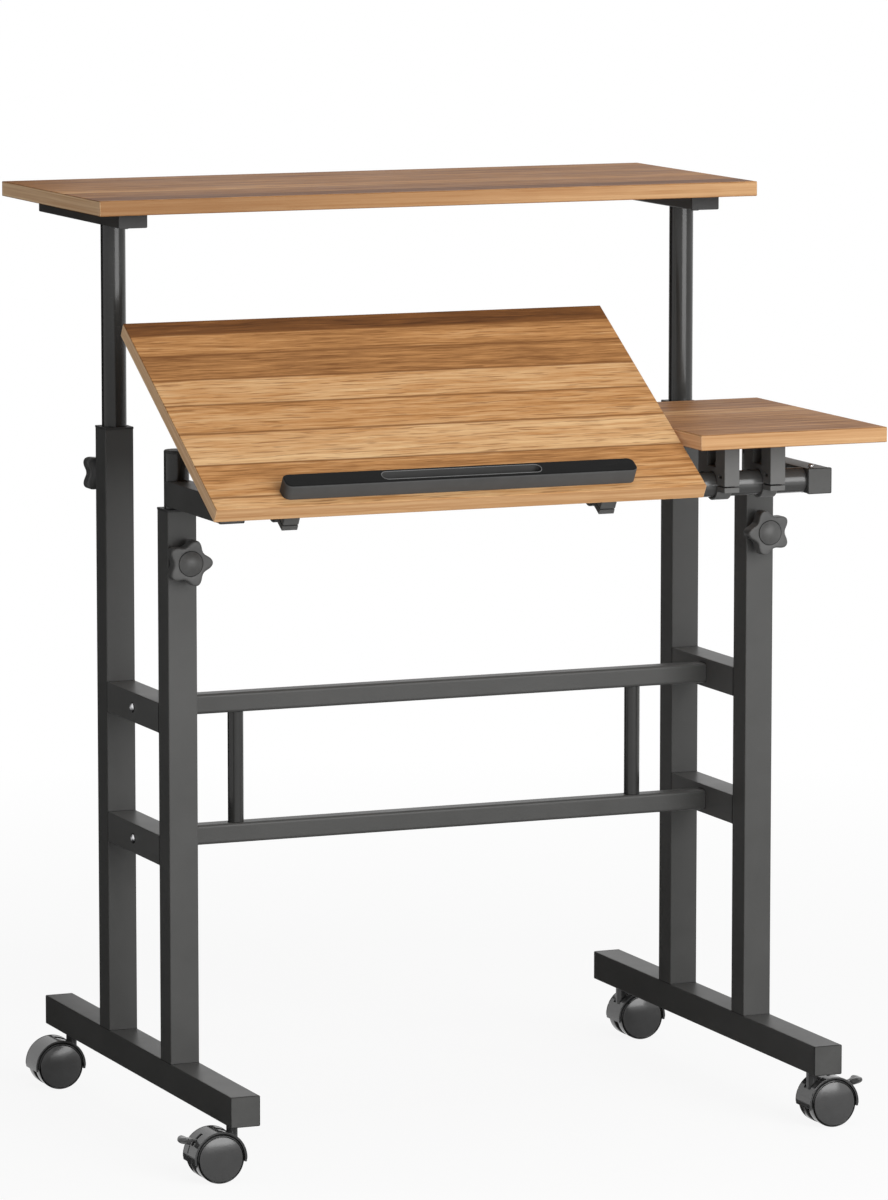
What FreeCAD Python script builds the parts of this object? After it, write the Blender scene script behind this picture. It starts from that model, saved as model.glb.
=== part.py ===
import FreeCAD, Part
import math
import os

# Mobile two-tier standing desk: a tilting writing board and a level side board in front, a shelf
# behind, each tier on two clamped telescoping tubes, on a welded base with four twin-wheel casters.
# Millimetres, +Z up, +Y to the rear, floor at Z = 0. Solids are made about the middle of the base.

V = FreeCAD.Vector
x_axis = V(1, 0, 0)
y_axis = V(0, 1, 0)
z_axis = V(0, 0, 1)
sides = {"left": -1, "right": 1}
ends = {"front": -1, "rear": 1}
near = 0.1                  # edges this close to a height lie at it
dome_rings = 3              # cones that make up a dome

# Boards
desk_width = 715.0
board_depth = 300.0
board_thickness = 15.0
board_edge = 0.6            # broken edge all round
side_board_width = 202.0
board_gap = 3.0             # between neighbouring boards
pilot_depth = 10.0          # how far a wood screw enters a board

# Telescoping tubes, their bushes and guides
tube_diameter = 25.0
tube_wall = 1.5
slide_fit = 0.08            # tube in its bush
bush_wall = 0.87
bush_length = 36.0
bush_rim = 2.0
bush_lip = 0.4              # rim stands proud of the post
socket_fit = 0.05           # plugs, bushes and pins that stay where they are put
guide_fit = 0.15            # lower guide in the post
guide_length = 18.0
spigot_length = 12.0
tube_foot_gap = 12.0        # under the guide when a tier is right down
tube_plug_rim = 3.0
tube_plug_edge = 1.0

# Base frame, square tube
post_wall = 1.5
post_corner = 1.0
post_inset = 45.0           # board end to post axis
post_spacing_y = 180.0
rear_post_length = 612.5
front_post_length = 550.0
foot_length = 545.0
upper_rung_height = 431.5
lower_rung_height = 299.0
end_cap_rim = 3.0
end_cap_plug = 14.0

# Ladder between the side frames
crossbar_side = 20.0
crossbar_wall = 1.5
crossbar_corner = 3.0
crossbar_end = 6.0          # threaded end plate
spindle_diameter = 16.0
spindle_wall = 1.2
spindle_spacing = 436.0

# Front arms and pivot tube
arm_side = 25.0
arm_wall = 1.5
arm_corner = 1.0
arm_reach = 137.0           # upright axis to pivot axis
arm_overhang = 16.0         # pivot axis to the front of the end cap
arm_stop_gap = 2.5          # arm above the bush rim with the desk right down
arm_cap_lip = 0.4
arm_bolt_back = 5.0         # arm bolt behind the pivot axis
weld_gap = 0.02

# Clamps between the boards and the pivot tube
clamp_width = 16.0
clamp_depth = 62.0
clamp_height = 43.0         # tube axis to the underside of the boards
clamp_fit = 0.06
clamp_parting = 1.5
clamp_wall = 5.5
clamp_slot = 20.0
clamp_web = 2.5             # closes the slot on its inner side
clamp_cap_wall = 3.0
clamp_mouth = 1.2           # bevel at both ends of the bore
clamp_flange = 5.0
clamp_boss_radius = 4.0
clamp_boss_height = 4.0
side_clamp_inset = 53.5     # inner edge of the side board to the first clamp
side_clamp_spacing = 50.0
tilt_clamp_inset = 101.0    # outer edge of the tilting board to the first clamp
tilt_clamp_inner = 76.0     # inner edge of the tilting board to the second clamp
tilt_angle = 31.0
board_rest_gap = 0.5        # level board above the tops of the uprights

# Stop ledge with its pen groove
ledge_length = 366.0
ledge_depth = 20.0
ledge_height = 16.0
ledge_setback = 10.0
ledge_end_radius = 7.0
ledge_edge = 2.0
groove_length = 166.0
groove_width = 12.0
groove_end_radius = 5.95
groove_floor = 7.0
ledge_screw_depth = 3.5
ledge_screw_spacing = 130.0

# Shelf bars
bar_width = 30.0
bar_height = 15.0
bar_wall = 1.5
bar_corner = 1.5
bar_length = 242.0
bar_plug = 12.0
bar_plug_rim = 2.0
shelf_screw_spacing = 190.0
shelf_stop_gap = 1.5        # bar above the bush rim with the shelf right down
shelf_raise = 201.5         # height of the shelf above its lowest place

# Fasteners
wood_screw_radius = 2.0
wood_screw_head_radius = 4.0
wood_screw_head = 2.4
cap_screw_radius = 2.0
cap_screw_head_radius = 3.6
cap_screw_head = 2.6
cap_nut_side = 7.0
cap_nut_height = 2.8
cap_nut_lift = 8.0          # parting line to the nut
bolt_radius = 3.0
bolt_head_radius = 4.2
bolt_head = 2.6
arm_bolt_radius = 2.0
arm_bolt_head_radius = 3.0
bolt_head_rim = 0.8         # straight side below the dome
hole_clearance = 0.3

# Star knobs and their threaded inserts
knob_below_bush = 12.5
knob_lobes = 5
knob_lobe_centre = 15.5
knob_lobe_radius = 6.5
knob_hollow_radius = 9.0
knob_thickness = 13.0
knob_edge = 1.5
knob_neck_radius = 8.5
knob_neck = 8.0
knob_cap_radius = 13.5
knob_cap_seat = 1.0
knob_cap_rise = 4.0
stud_radius = 4.0
stud_in_knob = 12.0
stud_tip_gap = 0.3          # tip to the clamped tube
insert_radius = 5.5
insert_flange_radius = 7.5
insert_flange = 1.2
knob_seat_gap = 0.5

# Casters
caster_inset = 37.5         # foot end to swivel axis
caster_trail = 17.5
wheel_diameter = 48.0
wheel_width = 12.0
wheel_gap = 0.5             # wheel to web
wheel_dish = 5.0
wheel_hub_radius = 8.0
wheel_rim_wall = 4.0
wheel_face_inset = 1.6
wheel_face_step = 0.4
wheel_crown = 2.6
wheel_tread_edge = 1.0
wheel_bore_depth = 8.0
axle_end_gap = 0.5          # axle end to the bottom of the bore
hood_gap = 1.2              # wheel to hood
hood_band = 1.8
hood_inset = 0.5            # hood edge behind the wheel rims
hood_skirt = 4.0            # hood reaches this far below the axle
hood_notch_width = 15.0
hood_notch_angle = 148.0    # where the notch ends on the stem side, from the trailing side
hood_web = 9.0
axle_radius = 3.0
axle_boss_radius = 7.0
running_fit = 0.05
neck_height = 8.0           # stem boss above the hood
stem_boss_radius = 5.5
stem_radius = 4.0
stem_seat = 10.0            # stem inside its boss
stem_length = 22.0          # stem inside the foot
socket_wall = 1.5
socket_flange = 1.5
socket_flange_width = 3.0
swivel_gap = 0.3
lever_width = 15.0
lever_length = 25.0
lever_root_width = 9.0
lever_tip_round = 5.25
lever_neck_width = 4.6
lever_neck_length = 13.5
lever_thickness = 3.2
lever_skirt = 1.8           # paddle edge below the neck
lever_rise = 12.0           # resting slope of the paddle, degrees
lever_pivot_radius = 21.0   # pivot from the axle
lever_pivot_angle = 50.0
lever_pin_radius = 1.5
lever_slot_gap = 0.4
lever_press = 16.0          # travel kept free below the paddle, degrees
vent_width = 2.0
vent_height = 8.0

# Sizes that follow from the ones above
tube_radius = tube_diameter / 2
post_side = tube_diameter + 2 * (slide_fit + bush_wall + socket_fit + post_wall)
post_x = desk_width / 2 - post_inset
post_y = post_spacing_y / 2
wheel_radius = wheel_diameter / 2
hood_radius = wheel_radius + hood_gap + hood_band
foot_bottom = wheel_radius + hood_radius + neck_height
foot_top = foot_bottom + post_side
post_length = {"front": front_post_length, "rear": rear_post_length}
post_top = {end: foot_top + length for end, length in post_length.items()}
rim_top = {end: top + bush_rim for end, top in post_top.items()}
knob_height = {end: top - bush_length - knob_below_bush for end, top in post_top.items()}
tube_bottom = foot_top + tube_foot_gap + guide_length
pivot_y = -post_y - arm_reach
pivot_z = rim_top["front"] + arm_stop_gap + arm_side / 2
board_bottom = pivot_z + clamp_height
board_top = board_bottom + board_thickness
front_edge = -board_gap / 2 - board_depth
side_board_left = desk_width / 2 - side_board_width
tilt_board_right = side_board_left - board_gap
tilt_board_middle = (tilt_board_right - desk_width / 2) / 2
bar_bottom = rim_top["rear"] + shelf_stop_gap + shelf_raise
shelf_bottom = bar_bottom + bar_height
shelf_middle = (board_gap + board_depth) / 2
side_clamps = [side_board_left + side_clamp_inset + i * side_clamp_spacing for i in range(2)]
tilt_clamps = [tilt_clamp_inset - desk_width / 2, tilt_board_right - tilt_clamp_inner]
ledge_screws = [tilt_board_middle + i * ledge_screw_spacing for i in (-1, 0, 1)]
shelf_screw_places = [shelf_middle + s * shelf_screw_spacing / 2 for s in (-1, 1)]
clamp_bore = tube_radius + clamp_fit
clamp_saddle = clamp_bore + clamp_wall
clamp_bolt_y = (clamp_slot / 2 + clamp_depth / 2) / 2

# The tilted front edge and the shelf set how far the desk reaches, and so where its middle is
tilt_radians = math.radians(tilt_angle)
tilt_ahead = pivot_y - front_edge
front_reach = (pivot_y - tilt_ahead * math.cos(tilt_radians)
               - (clamp_height + board_thickness) * math.sin(tilt_radians))
rear_reach = board_gap / 2 + board_depth
desk_middle_y = (front_reach + rear_reach) / 2

nodes = {}


# Add solids to a named node
def add(node, *solids):
    nodes.setdefault(node, []).extend(solids)


# Box between two corners
def box(x0, x1, y0, y1, z0, z1):
    return Part.makeBox(x1 - x0, y1 - y0, z1 - z0, V(x0, y0, z0))


# Solid cylinder from a start point along a direction
def rod(radius, start, direction, length):
    return Part.makeCylinder(radius, length, start, direction)


# Bar of rounded rectangular section from a start point along an axis
def bar(width, height, corner, start, direction, length):
    solid = box(-width / 2, width / 2, -height / 2, height / 2, 0, length)
    long_edges = [e for e in solid.Edges if abs(e.tangentAt(e.FirstParameter).z) > 0.9]
    solid = solid.makeFillet(corner, long_edges)
    solid.Placement = FreeCAD.Placement(start, FreeCAD.Rotation(z_axis, direction))
    return solid


# Square-cornered block of rectangular section from a start point along an axis
def block(width, height, start, direction, length):
    solid = box(-width / 2, width / 2, -height / 2, height / 2, 0, length)
    solid.Placement = FreeCAD.Placement(start, FreeCAD.Rotation(z_axis, direction))
    return solid


# Edges of a solid that lie level at a height
def edges_at(solid, height):
    boxes = [(e, e.BoundBox) for e in solid.Edges]
    return [e for e, b in boxes if abs(b.ZMin - height) < near and abs(b.ZMax - height) < near]


# Square or rectangular tube
def tube(width, height, wall, corner, start, direction, length):
    outer = bar(width, height, corner, start, direction, length)
    return outer.cut(block(width - 2 * wall, height - 2 * wall, start, direction, length))


# Round tube
def round_tube(diameter, wall, start, direction, length):
    outer = rod(diameter / 2, start, direction, length)
    return outer.cut(rod(diameter / 2 - wall, start, direction, length))


# Plug for the end of a rectangular tube: a rim flush with the tube and a block inside it
def tube_plug(width, height, wall, corner, lip, rim, depth, start, direction):
    rim_solid = bar(width + 2 * lip, height + 2 * lip, corner + lip, start, direction, rim)
    inside = 2 * (wall + socket_fit)
    return rim_solid.fuse(block(width - inside, height - inside, start, direction * -1, depth))


# Screw whose flat head seats at a point and whose shank runs along a direction
def screw(shank_radius, length, head_radius, head_height, seat, direction):
    shank = rod(shank_radius, seat, direction, length)
    return shank.fuse(rod(head_radius, seat, direction * -1, head_height))


# Bolt with a domed head, placed like a screw
def dome_bolt(radius, head_radius, length, seat, direction):
    head = revolved([(0, 0), (head_radius, 0)] + dome(head_radius, bolt_head_rim, bolt_head))
    head.Placement = FreeCAD.Placement(seat, FreeCAD.Rotation(z_axis, direction * -1))
    return head.fuse(rod(radius, seat, direction, length))


# Solid of revolution about Z from a closed profile of (radius, height) points
def revolved(profile):
    points = [V(r, 0, h) for r, h in profile]
    face = Part.Face(Part.makePolygon(points + points[:1]))
    return face.revolve(V(0, 0, 0), z_axis, 360)


# Rings of a shallow dome about Z, on a sphere from its rim in to its crown
def dome(rim_radius, rim_height, crown_height):
    rise = crown_height - rim_height
    sphere = (rim_radius ** 2 + rise ** 2) / (2 * rise)
    points = []
    for i in range(dome_rings + 1):
        radius = rim_radius * (1 - i / dome_rings)
        points.append((radius, crown_height - sphere + math.sqrt(sphere ** 2 - radius ** 2)))
    return points


# Turn a solid about the pivot tube from level to the tilt shown
def tilted(solid):
    turned = solid.copy()
    turned.rotate(V(0, pivot_y, pivot_z), x_axis, tilt_angle)
    return turned


# Board with broken edges and blind pilot holes from below
def board(x0, x1, y0, y1, bottom, pilots):
    solid = box(x0, x1, y0, y1, bottom, bottom + board_thickness)
    solid = solid.makeChamfer(board_edge, solid.Edges)
    for x, y in pilots:
        hole = rod(wood_screw_radius + socket_fit, V(x, y, bottom), z_axis, pilot_depth)
        solid = solid.cut(hole)
    return solid


# Foot tube with its end caps and the holes for the caster sockets
def make_foot(side, sign):
    length = foot_length - 2 * end_cap_rim
    start = V(sign * post_x, -length / 2, foot_bottom + post_side / 2)
    solid = tube(post_side, post_side, post_wall, post_corner, start, y_axis, length)
    for end in ends.values():
        swivel = V(sign * post_x, end * (foot_length / 2 - caster_inset), foot_bottom)
        hole = rod(stem_radius + running_fit + socket_wall + socket_fit, swivel, z_axis, post_side / 2)
        solid = solid.cut(hole)
        face = V(sign * post_x, end * length / 2, foot_bottom + post_side / 2)
        add("foot_end_caps", tube_plug(post_side, post_side, post_wall, post_corner, 0,
                                       end_cap_rim, end_cap_plug, face, y_axis * end))
        add("caster_sockets", caster_socket(swivel))
    add(side + "_foot", solid)


# Bushing in the foot that the caster stem turns in
def caster_socket(swivel):
    bore = stem_radius + running_fit
    depth = post_side - post_wall
    body = rod(bore + socket_wall, swivel, z_axis, depth)
    flange = rod(bore + socket_wall + socket_flange_width, swivel, z_axis * -1, socket_flange)
    hole = rod(bore, swivel - z_axis * socket_flange, z_axis, socket_flange + stem_length + running_fit)
    return body.fuse(flange).cut(hole)


# Post with a hole for the threaded insert, the bush at its top and the insert itself
def make_post(side, sign, end, facing):
    foot = V(sign * post_x, facing * post_y, foot_top)
    solid = tube(post_side, post_side, post_wall, post_corner, foot, z_axis, post_length[end])
    face = V(foot.x, foot.y + facing * post_side / 2, knob_height[end])
    inward = y_axis * -facing
    solid = solid.cut(rod(insert_radius + socket_fit, face, inward, post_side / 2))
    add(side + "_" + end + "_post", solid)
    body = rod(insert_radius, face, inward, post_wall)
    flange = rod(insert_flange_radius, face, inward * -1, insert_flange)
    bore = rod(stud_radius + running_fit, face - inward * insert_flange, inward, insert_flange + post_wall)
    add("knob_inserts", body.fuse(flange).cut(bore))
    top = V(foot.x, foot.y, post_top[end])
    bush = tube_plug(post_side, post_side, post_wall, post_corner, bush_lip,
                     bush_rim, bush_length, top, z_axis)
    through = rod(tube_radius + slide_fit, top - z_axis * bush_length, z_axis, bush_length + bush_rim)
    add("post_bushes", bush.cut(through))


# Rungs of a side frame, with the bolt holes that carry the crossbars
def make_rungs(sign):
    length = post_spacing_y - post_side
    for height in (lower_rung_height, upper_rung_height):
        start = V(sign * post_x, -length / 2, height)
        solid = tube(post_side, post_side, post_wall, post_corner, start, y_axis, length)
        outside = V(sign * (post_x + post_side / 2), 0, height)
        inward = x_axis * -sign
        add("rungs", solid.cut(rod(bolt_radius + hole_clearance, outside, inward, post_side)))
        reach = post_side + crossbar_end
        add("crossbar_bolts", dome_bolt(bolt_radius, bolt_head_radius, reach, outside, inward))


# Crossbars with threaded end plates
def make_crossbars():
    half = post_x - post_side / 2
    for height in (lower_rung_height, upper_rung_height):
        solid = bar(crossbar_side, crossbar_side, crossbar_corner, V(-half, 0, height), x_axis, 2 * half)
        inside = crossbar_side - 2 * crossbar_wall
        hollow = block(inside, inside, V(crossbar_end - half, 0, height), x_axis, 2 * (half - crossbar_end))
        bolt_way = rod(bolt_radius + socket_fit, V(-half, 0, height), x_axis, 2 * half)
        add("crossbars", solid.cut(hollow).cut(bolt_way))


# Spindles between the two crossbars
def make_spindles():
    bottom = lower_rung_height + crossbar_side / 2
    length = upper_rung_height - lower_rung_height - crossbar_side
    for sign in sides.values():
        start = V(sign * spindle_spacing / 2, 0, bottom)
        add("spindles", round_tube(spindle_diameter, spindle_wall, start, z_axis, length))


# Square guide at the foot of a telescoping tube, with a spigot inside the tube
def tube_guide(tube_end):
    width = post_side - 2 * (post_wall + guide_fit)
    spigot = rod(tube_radius - tube_wall - socket_fit, tube_end, z_axis, spigot_length)
    return block(width, width, tube_end, z_axis * -1, guide_length).fuse(spigot)


# Uprights of the front tier, with a guide below and a plug on top
def make_upright(side, sign):
    foot = V(sign * post_x, -post_y, tube_bottom)
    top = board_bottom - board_rest_gap - tube_plug_rim
    add(side + "_upright", round_tube(tube_diameter, tube_wall, foot, z_axis, top - tube_bottom))
    end = V(foot.x, foot.y, top)
    rim = rod(tube_radius, end, z_axis, tube_plug_rim)
    rim = rim.makeChamfer(tube_plug_edge, edges_at(rim, top + tube_plug_rim))
    spigot = rod(tube_radius - tube_wall - socket_fit, end, z_axis * -1, spigot_length)
    add("upright_plugs", tube_guide(foot), rim.fuse(spigot))


# Arm from an upright to the pivot tube, coped round the upright, with its end cap and bolt
def make_arm(side, sign):
    front = pivot_y - arm_overhang + end_cap_rim
    start = V(sign * post_x, front, pivot_z)
    solid = tube(arm_side, arm_side, arm_wall, arm_corner, start, y_axis, -post_y - front)
    cope = rod(tube_radius + weld_gap, V(sign * post_x, -post_y, pivot_z - arm_side), z_axis, 2 * arm_side)
    top = V(sign * post_x, pivot_y + arm_bolt_back, pivot_z + arm_side / 2)
    bolt_hole = rod(arm_bolt_radius + hole_clearance, top, z_axis * -1, arm_side)
    add(side + "_arm", solid.cut(cope).cut(bolt_hole))
    plug_depth = arm_overhang + arm_bolt_back - end_cap_rim - arm_bolt_head_radius
    add("arm_end_caps", tube_plug(arm_side, arm_side, arm_wall, arm_corner, arm_cap_lip,
                                  end_cap_rim, plug_depth, start, y_axis * -1))
    add("arm_bolts", dome_bolt(arm_bolt_radius, arm_bolt_head_radius, arm_side, top, z_axis * -1))


# Bore of a board clamp along X, bevelled at both mouths
def clamp_bore_space():
    w = clamp_width / 2
    wide = clamp_bore + clamp_mouth
    space = rod(clamp_bore, V(-w, 0, 0), x_axis, clamp_width)
    for sign in sides.values():
        space = space.fuse(Part.makeCone(wide, clamp_bore, clamp_mouth, V(sign * w, 0, 0), x_axis * -sign))
    return space


# Upper half of a board clamp: two columns joined by a web, with a boss for the wood screw on the saddle
def clamp_block(x):
    w = clamp_width / 2
    d = clamp_depth / 2
    solid = box(-w, w, -d, d, clamp_parting / 2, clamp_height)
    slot = box(-w, w - clamp_web, -clamp_slot / 2, clamp_slot / 2, clamp_saddle, clamp_height)
    solid = solid.cut(slot)
    boss = rod(clamp_boss_radius, V(0, 0, clamp_bore), z_axis, clamp_wall + clamp_boss_height)
    solid = solid.fuse(boss).cut(clamp_bore_space())
    solid = solid.cut(rod(wood_screw_radius + hole_clearance, V(0, 0, 0), z_axis, clamp_height))
    head_room = clamp_bore + wood_screw_head + 2 * hole_clearance
    solid = solid.cut(rod(wood_screw_head_radius + hole_clearance, V(0, 0, 0), z_axis, head_room))
    nut = cap_nut_side / 2 + hole_clearance
    for sign in ends.values():
        y = sign * clamp_bolt_y
        shaft = rod(cap_screw_radius + socket_fit, V(0, y, 0), z_axis, 2 * cap_nut_lift + cap_nut_height)
        pocket = box(-w, nut, y - nut, y + nut, cap_nut_lift, cap_nut_lift + cap_nut_height)
        solid = solid.cut(shaft).cut(pocket)
    return moved_to_pivot(solid.removeSplitter(), x)


# Lower half of a board clamp: a half ring with two flanges
def clamp_cap(x):
    w = clamp_width / 2
    d = clamp_depth / 2
    top = -clamp_parting / 2
    ring = rod(clamp_bore + clamp_cap_wall, V(-w, 0, 0), x_axis, clamp_width)
    flange = box(-w, w, -d, d, top - clamp_flange, top)
    solid = ring.fuse(flange).cut(box(-w, w, -d, d, top, clamp_saddle)).cut(clamp_bore_space())
    for sign in ends.values():
        hole_top = V(0, sign * clamp_bolt_y, top)
        head_seat = hole_top - z_axis * (clamp_flange - cap_screw_head)
        solid = solid.cut(rod(cap_screw_radius + hole_clearance, hole_top, z_axis * -1, clamp_flange))
        solid = solid.cut(rod(cap_screw_head_radius + hole_clearance, head_seat, z_axis * -1, cap_screw_head))
    return moved_to_pivot(solid.removeSplitter(), x)


# Screws and square nuts of one clamp: two through the cap, one through the saddle into the board
def clamp_fasteners(x):
    solids = []
    seat = cap_screw_head - clamp_parting / 2 - clamp_flange
    reach = cap_nut_lift + cap_nut_height - seat
    for sign in ends.values():
        y = sign * clamp_bolt_y
        solids.append(screw(cap_screw_radius, reach, cap_screw_head_radius, cap_screw_head,
                            V(0, y, seat), z_axis))
        half = cap_nut_side / 2
        nut = box(-half, half, y - half, y + half, cap_nut_lift, cap_nut_lift + cap_nut_height)
        solids.append(nut.cut(rod(cap_screw_radius + socket_fit, V(0, y, 0), z_axis, clamp_height)))
    head_seat = clamp_bore + wood_screw_head + 2 * hole_clearance
    length = clamp_height + pilot_depth - head_seat
    solids.append(screw(wood_screw_radius, length, wood_screw_head_radius, wood_screw_head,
                        V(0, 0, head_seat), z_axis))
    return [moved_to_pivot(solid, x) for solid in solids]


# Move a solid made about the tube axis to its place along the pivot tube
def moved_to_pivot(solid, x):
    solid.translate(V(x, pivot_y, pivot_z))
    return solid


# Pivot tube between the arms, and the side board with its two clamps
def make_side_board():
    half = post_x - arm_side / 2
    add("pivot_tube", round_tube(tube_diameter, tube_wall, V(-half, pivot_y, pivot_z), x_axis, 2 * half))
    pilots = [(x, pivot_y) for x in side_clamps]
    add("side_board", board(side_board_left, desk_width / 2, front_edge, -board_gap / 2,
                            board_bottom, pilots))
    for x in side_clamps:
        add("side_clamp_blocks", clamp_block(x))
        add("side_clamp_caps", clamp_cap(x))
        add("side_clamp_screws", *clamp_fasteners(x))


# Stop ledge with rounded ends and a pen groove in its top
def make_ledge():
    bottom = board_top
    middle = V(tilt_board_middle, front_edge + ledge_setback + ledge_depth / 2, bottom)
    solid = bar(ledge_length, ledge_depth, ledge_end_radius, middle, z_axis, ledge_height)
    solid = solid.makeFillet(ledge_edge, edges_at(solid, bottom + ledge_height))
    groove = bar(groove_length, groove_width, groove_end_radius, middle + z_axis * groove_floor,
                 z_axis, ledge_height)
    solid = solid.cut(groove)
    for x in ledge_screws:
        start = V(x, middle.y, bottom)
        solid = solid.cut(rod(wood_screw_radius + socket_fit, start, z_axis, ledge_screw_depth))
    return solid, middle.y


# Tilting board with its clamps, ledge and screws
def make_tilt_board():
    ledge, ledge_y = make_ledge()
    add("ledge", tilted(ledge))
    pilots = [(x, pivot_y) for x in tilt_clamps]
    solid = board(-desk_width / 2, tilt_board_right, front_edge, -board_gap / 2, board_bottom, pilots)
    for x in ledge_screws:
        start = V(x, ledge_y, board_bottom)
        solid = solid.cut(rod(wood_screw_radius + socket_fit, start, z_axis, board_thickness))
        add("tilt_screws", tilted(screw(wood_screw_radius, board_thickness + ledge_screw_depth,
                                        wood_screw_head_radius, wood_screw_head, start, z_axis)))
    add("tilt_board", tilted(solid))
    for x in tilt_clamps:
        add("tilt_clamp_blocks", tilted(clamp_block(x)))
        add("tilt_clamp_caps", tilted(clamp_cap(x)))
        add("tilt_screws", *[tilted(solid) for solid in clamp_fasteners(x)])


# Rear shelf on two bars, each carried by a telescoping tube
def make_shelf():
    pilots = [(sign * post_x, y) for sign in sides.values() for y in shelf_screw_places]
    add("rear_shelf", board(-desk_width / 2, desk_width / 2, board_gap / 2, rear_reach,
                            shelf_bottom, pilots))
    for side, sign in sides.items():
        foot = V(sign * post_x, post_y, tube_bottom + shelf_raise)
        add(side + "_shelf_tube", round_tube(tube_diameter, tube_wall, foot, z_axis, bar_bottom - foot.z))
        add("shelf_plugs", tube_guide(foot))
        make_shelf_bar(sign)


# One shelf bar with its end plugs and screws
def make_shelf_bar(sign):
    length = bar_length - 2 * bar_plug_rim
    centre = V(sign * post_x, shelf_middle, bar_bottom + bar_height / 2)
    start = centre - y_axis * (length / 2)
    solid = tube(bar_width, bar_height, bar_wall, bar_corner, start, y_axis, length)
    for end in ends.values():
        face = centre + y_axis * (end * length / 2)
        add("shelf_plugs", tube_plug(bar_width, bar_height, bar_wall, bar_corner, 0,
                                     bar_plug_rim, bar_plug, face, y_axis * end))
    for y in shelf_screw_places:
        seat = V(sign * post_x, y, bar_bottom)
        solid = solid.cut(rod(wood_screw_radius + hole_clearance, seat, z_axis, bar_height))
        add("shelf_screws", screw(wood_screw_radius, bar_height + pilot_depth, wood_screw_head_radius,
                                  wood_screw_head, seat, z_axis))
    add("shelf_bars", solid)


# Outline of a star knob: round lobes joined by tangent hollows
def star_face():
    step = math.pi / knob_lobes
    reach = knob_lobe_radius + knob_hollow_radius
    across = knob_lobe_centre * math.sin(step)
    hollow_centre = knob_lobe_centre * math.cos(step) + math.sqrt(reach ** 2 - across ** 2)
    edges = []
    for i in range(knob_lobes):
        turn = math.pi + 2 * i * step
        lobe = polar(knob_lobe_centre, turn)
        before = polar(hollow_centre, turn - step)
        after = polar(hollow_centre, turn + step)
        start = lobe + (before - lobe) * (knob_lobe_radius / reach)
        end = lobe + (after - lobe) * (knob_lobe_radius / reach)
        tip = polar(knob_lobe_centre + knob_lobe_radius, turn)
        edges.append(Part.Arc(start, tip, end).toShape())
        next_lobe = polar(knob_lobe_centre, turn + 2 * step)
        next_start = next_lobe + (after - next_lobe) * (knob_lobe_radius / reach)
        dip = polar(hollow_centre - knob_hollow_radius, turn + step)
        edges.append(Part.Arc(end, dip, next_start).toShape())
    return Part.Face(Part.Wire(edges))


# Point in the XY plane at a radius and an angle
def polar(radius, angle):
    return V(radius * math.cos(angle), radius * math.sin(angle), 0)


# Star knob about Z with its back at Z = 0, its snap-in cap and its threaded stud
def knob_solids(stud_reach):
    back = knob_neck
    front = knob_neck + knob_thickness
    star = star_face()
    star.translate(V(0, 0, back))
    head = star.extrude(z_axis * knob_thickness)
    head = head.makeChamfer(knob_edge, edges_at(head, front))
    neck = Part.makeCone(knob_neck_radius, knob_lobe_centre - knob_edge, knob_neck)
    head = head.fuse(neck).removeSplitter()
    head = head.cut(rod(knob_cap_radius, V(0, 0, front - knob_cap_seat), z_axis, knob_cap_rise))
    head = head.cut(rod(stud_radius + socket_fit, V(0, 0, 0), z_axis, stud_in_knob))
    seat = front - knob_cap_seat
    crown = front + knob_cap_rise
    rim_radius = knob_cap_radius - socket_fit
    cap = revolved([(0, seat), (rim_radius, seat)] + dome(rim_radius, front, crown))
    stud = rod(stud_radius, V(0, 0, stud_in_knob), z_axis * -1, stud_in_knob + stud_reach)
    return [head, cap, stud]


# Place one knob on the outer face of a post, with a lobe towards the middle of the desk
def make_knob(side, sign, end, facing):
    seat = insert_flange + knob_seat_gap
    stud_reach = seat + post_side / 2 - tube_radius - stud_tip_gap
    origin = V(sign * post_x, facing * (post_y + post_side / 2 + seat), knob_height[end])
    turn = FreeCAD.Rotation(x_axis, 90) if facing < 0 else FreeCAD.Rotation(x_axis, -90)
    for solid in knob_solids(stud_reach):
        solid.rotate(V(0, 0, 0), z_axis, 0 if sign > 0 else 180)
        solid.Placement = FreeCAD.Placement(origin, turn).multiply(solid.Placement)
        add(side + "_" + end + "_knob", solid)


# Wheel about Z with its inner face at Z = 0: dished inside, stepped and crowned outside
def wheel_solid():
    r = wheel_radius
    w = wheel_width
    k = wheel_tread_edge
    bore = axle_radius + running_fit
    rim = r - wheel_rim_wall
    face = r - wheel_face_inset
    inside = [(bore, wheel_bore_depth), (bore, 0), (wheel_hub_radius, 0), (wheel_hub_radius, wheel_dish),
              (rim, wheel_dish), (rim, 0)]
    tread = [(r - k, 0), (r, k), (r, w - k), (r - k, w)]
    outside = [(face, w)] + dome(face, w - wheel_face_step, w + wheel_crown)
    return revolved([(0, wheel_bore_depth)] + inside + tread + outside)


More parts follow.
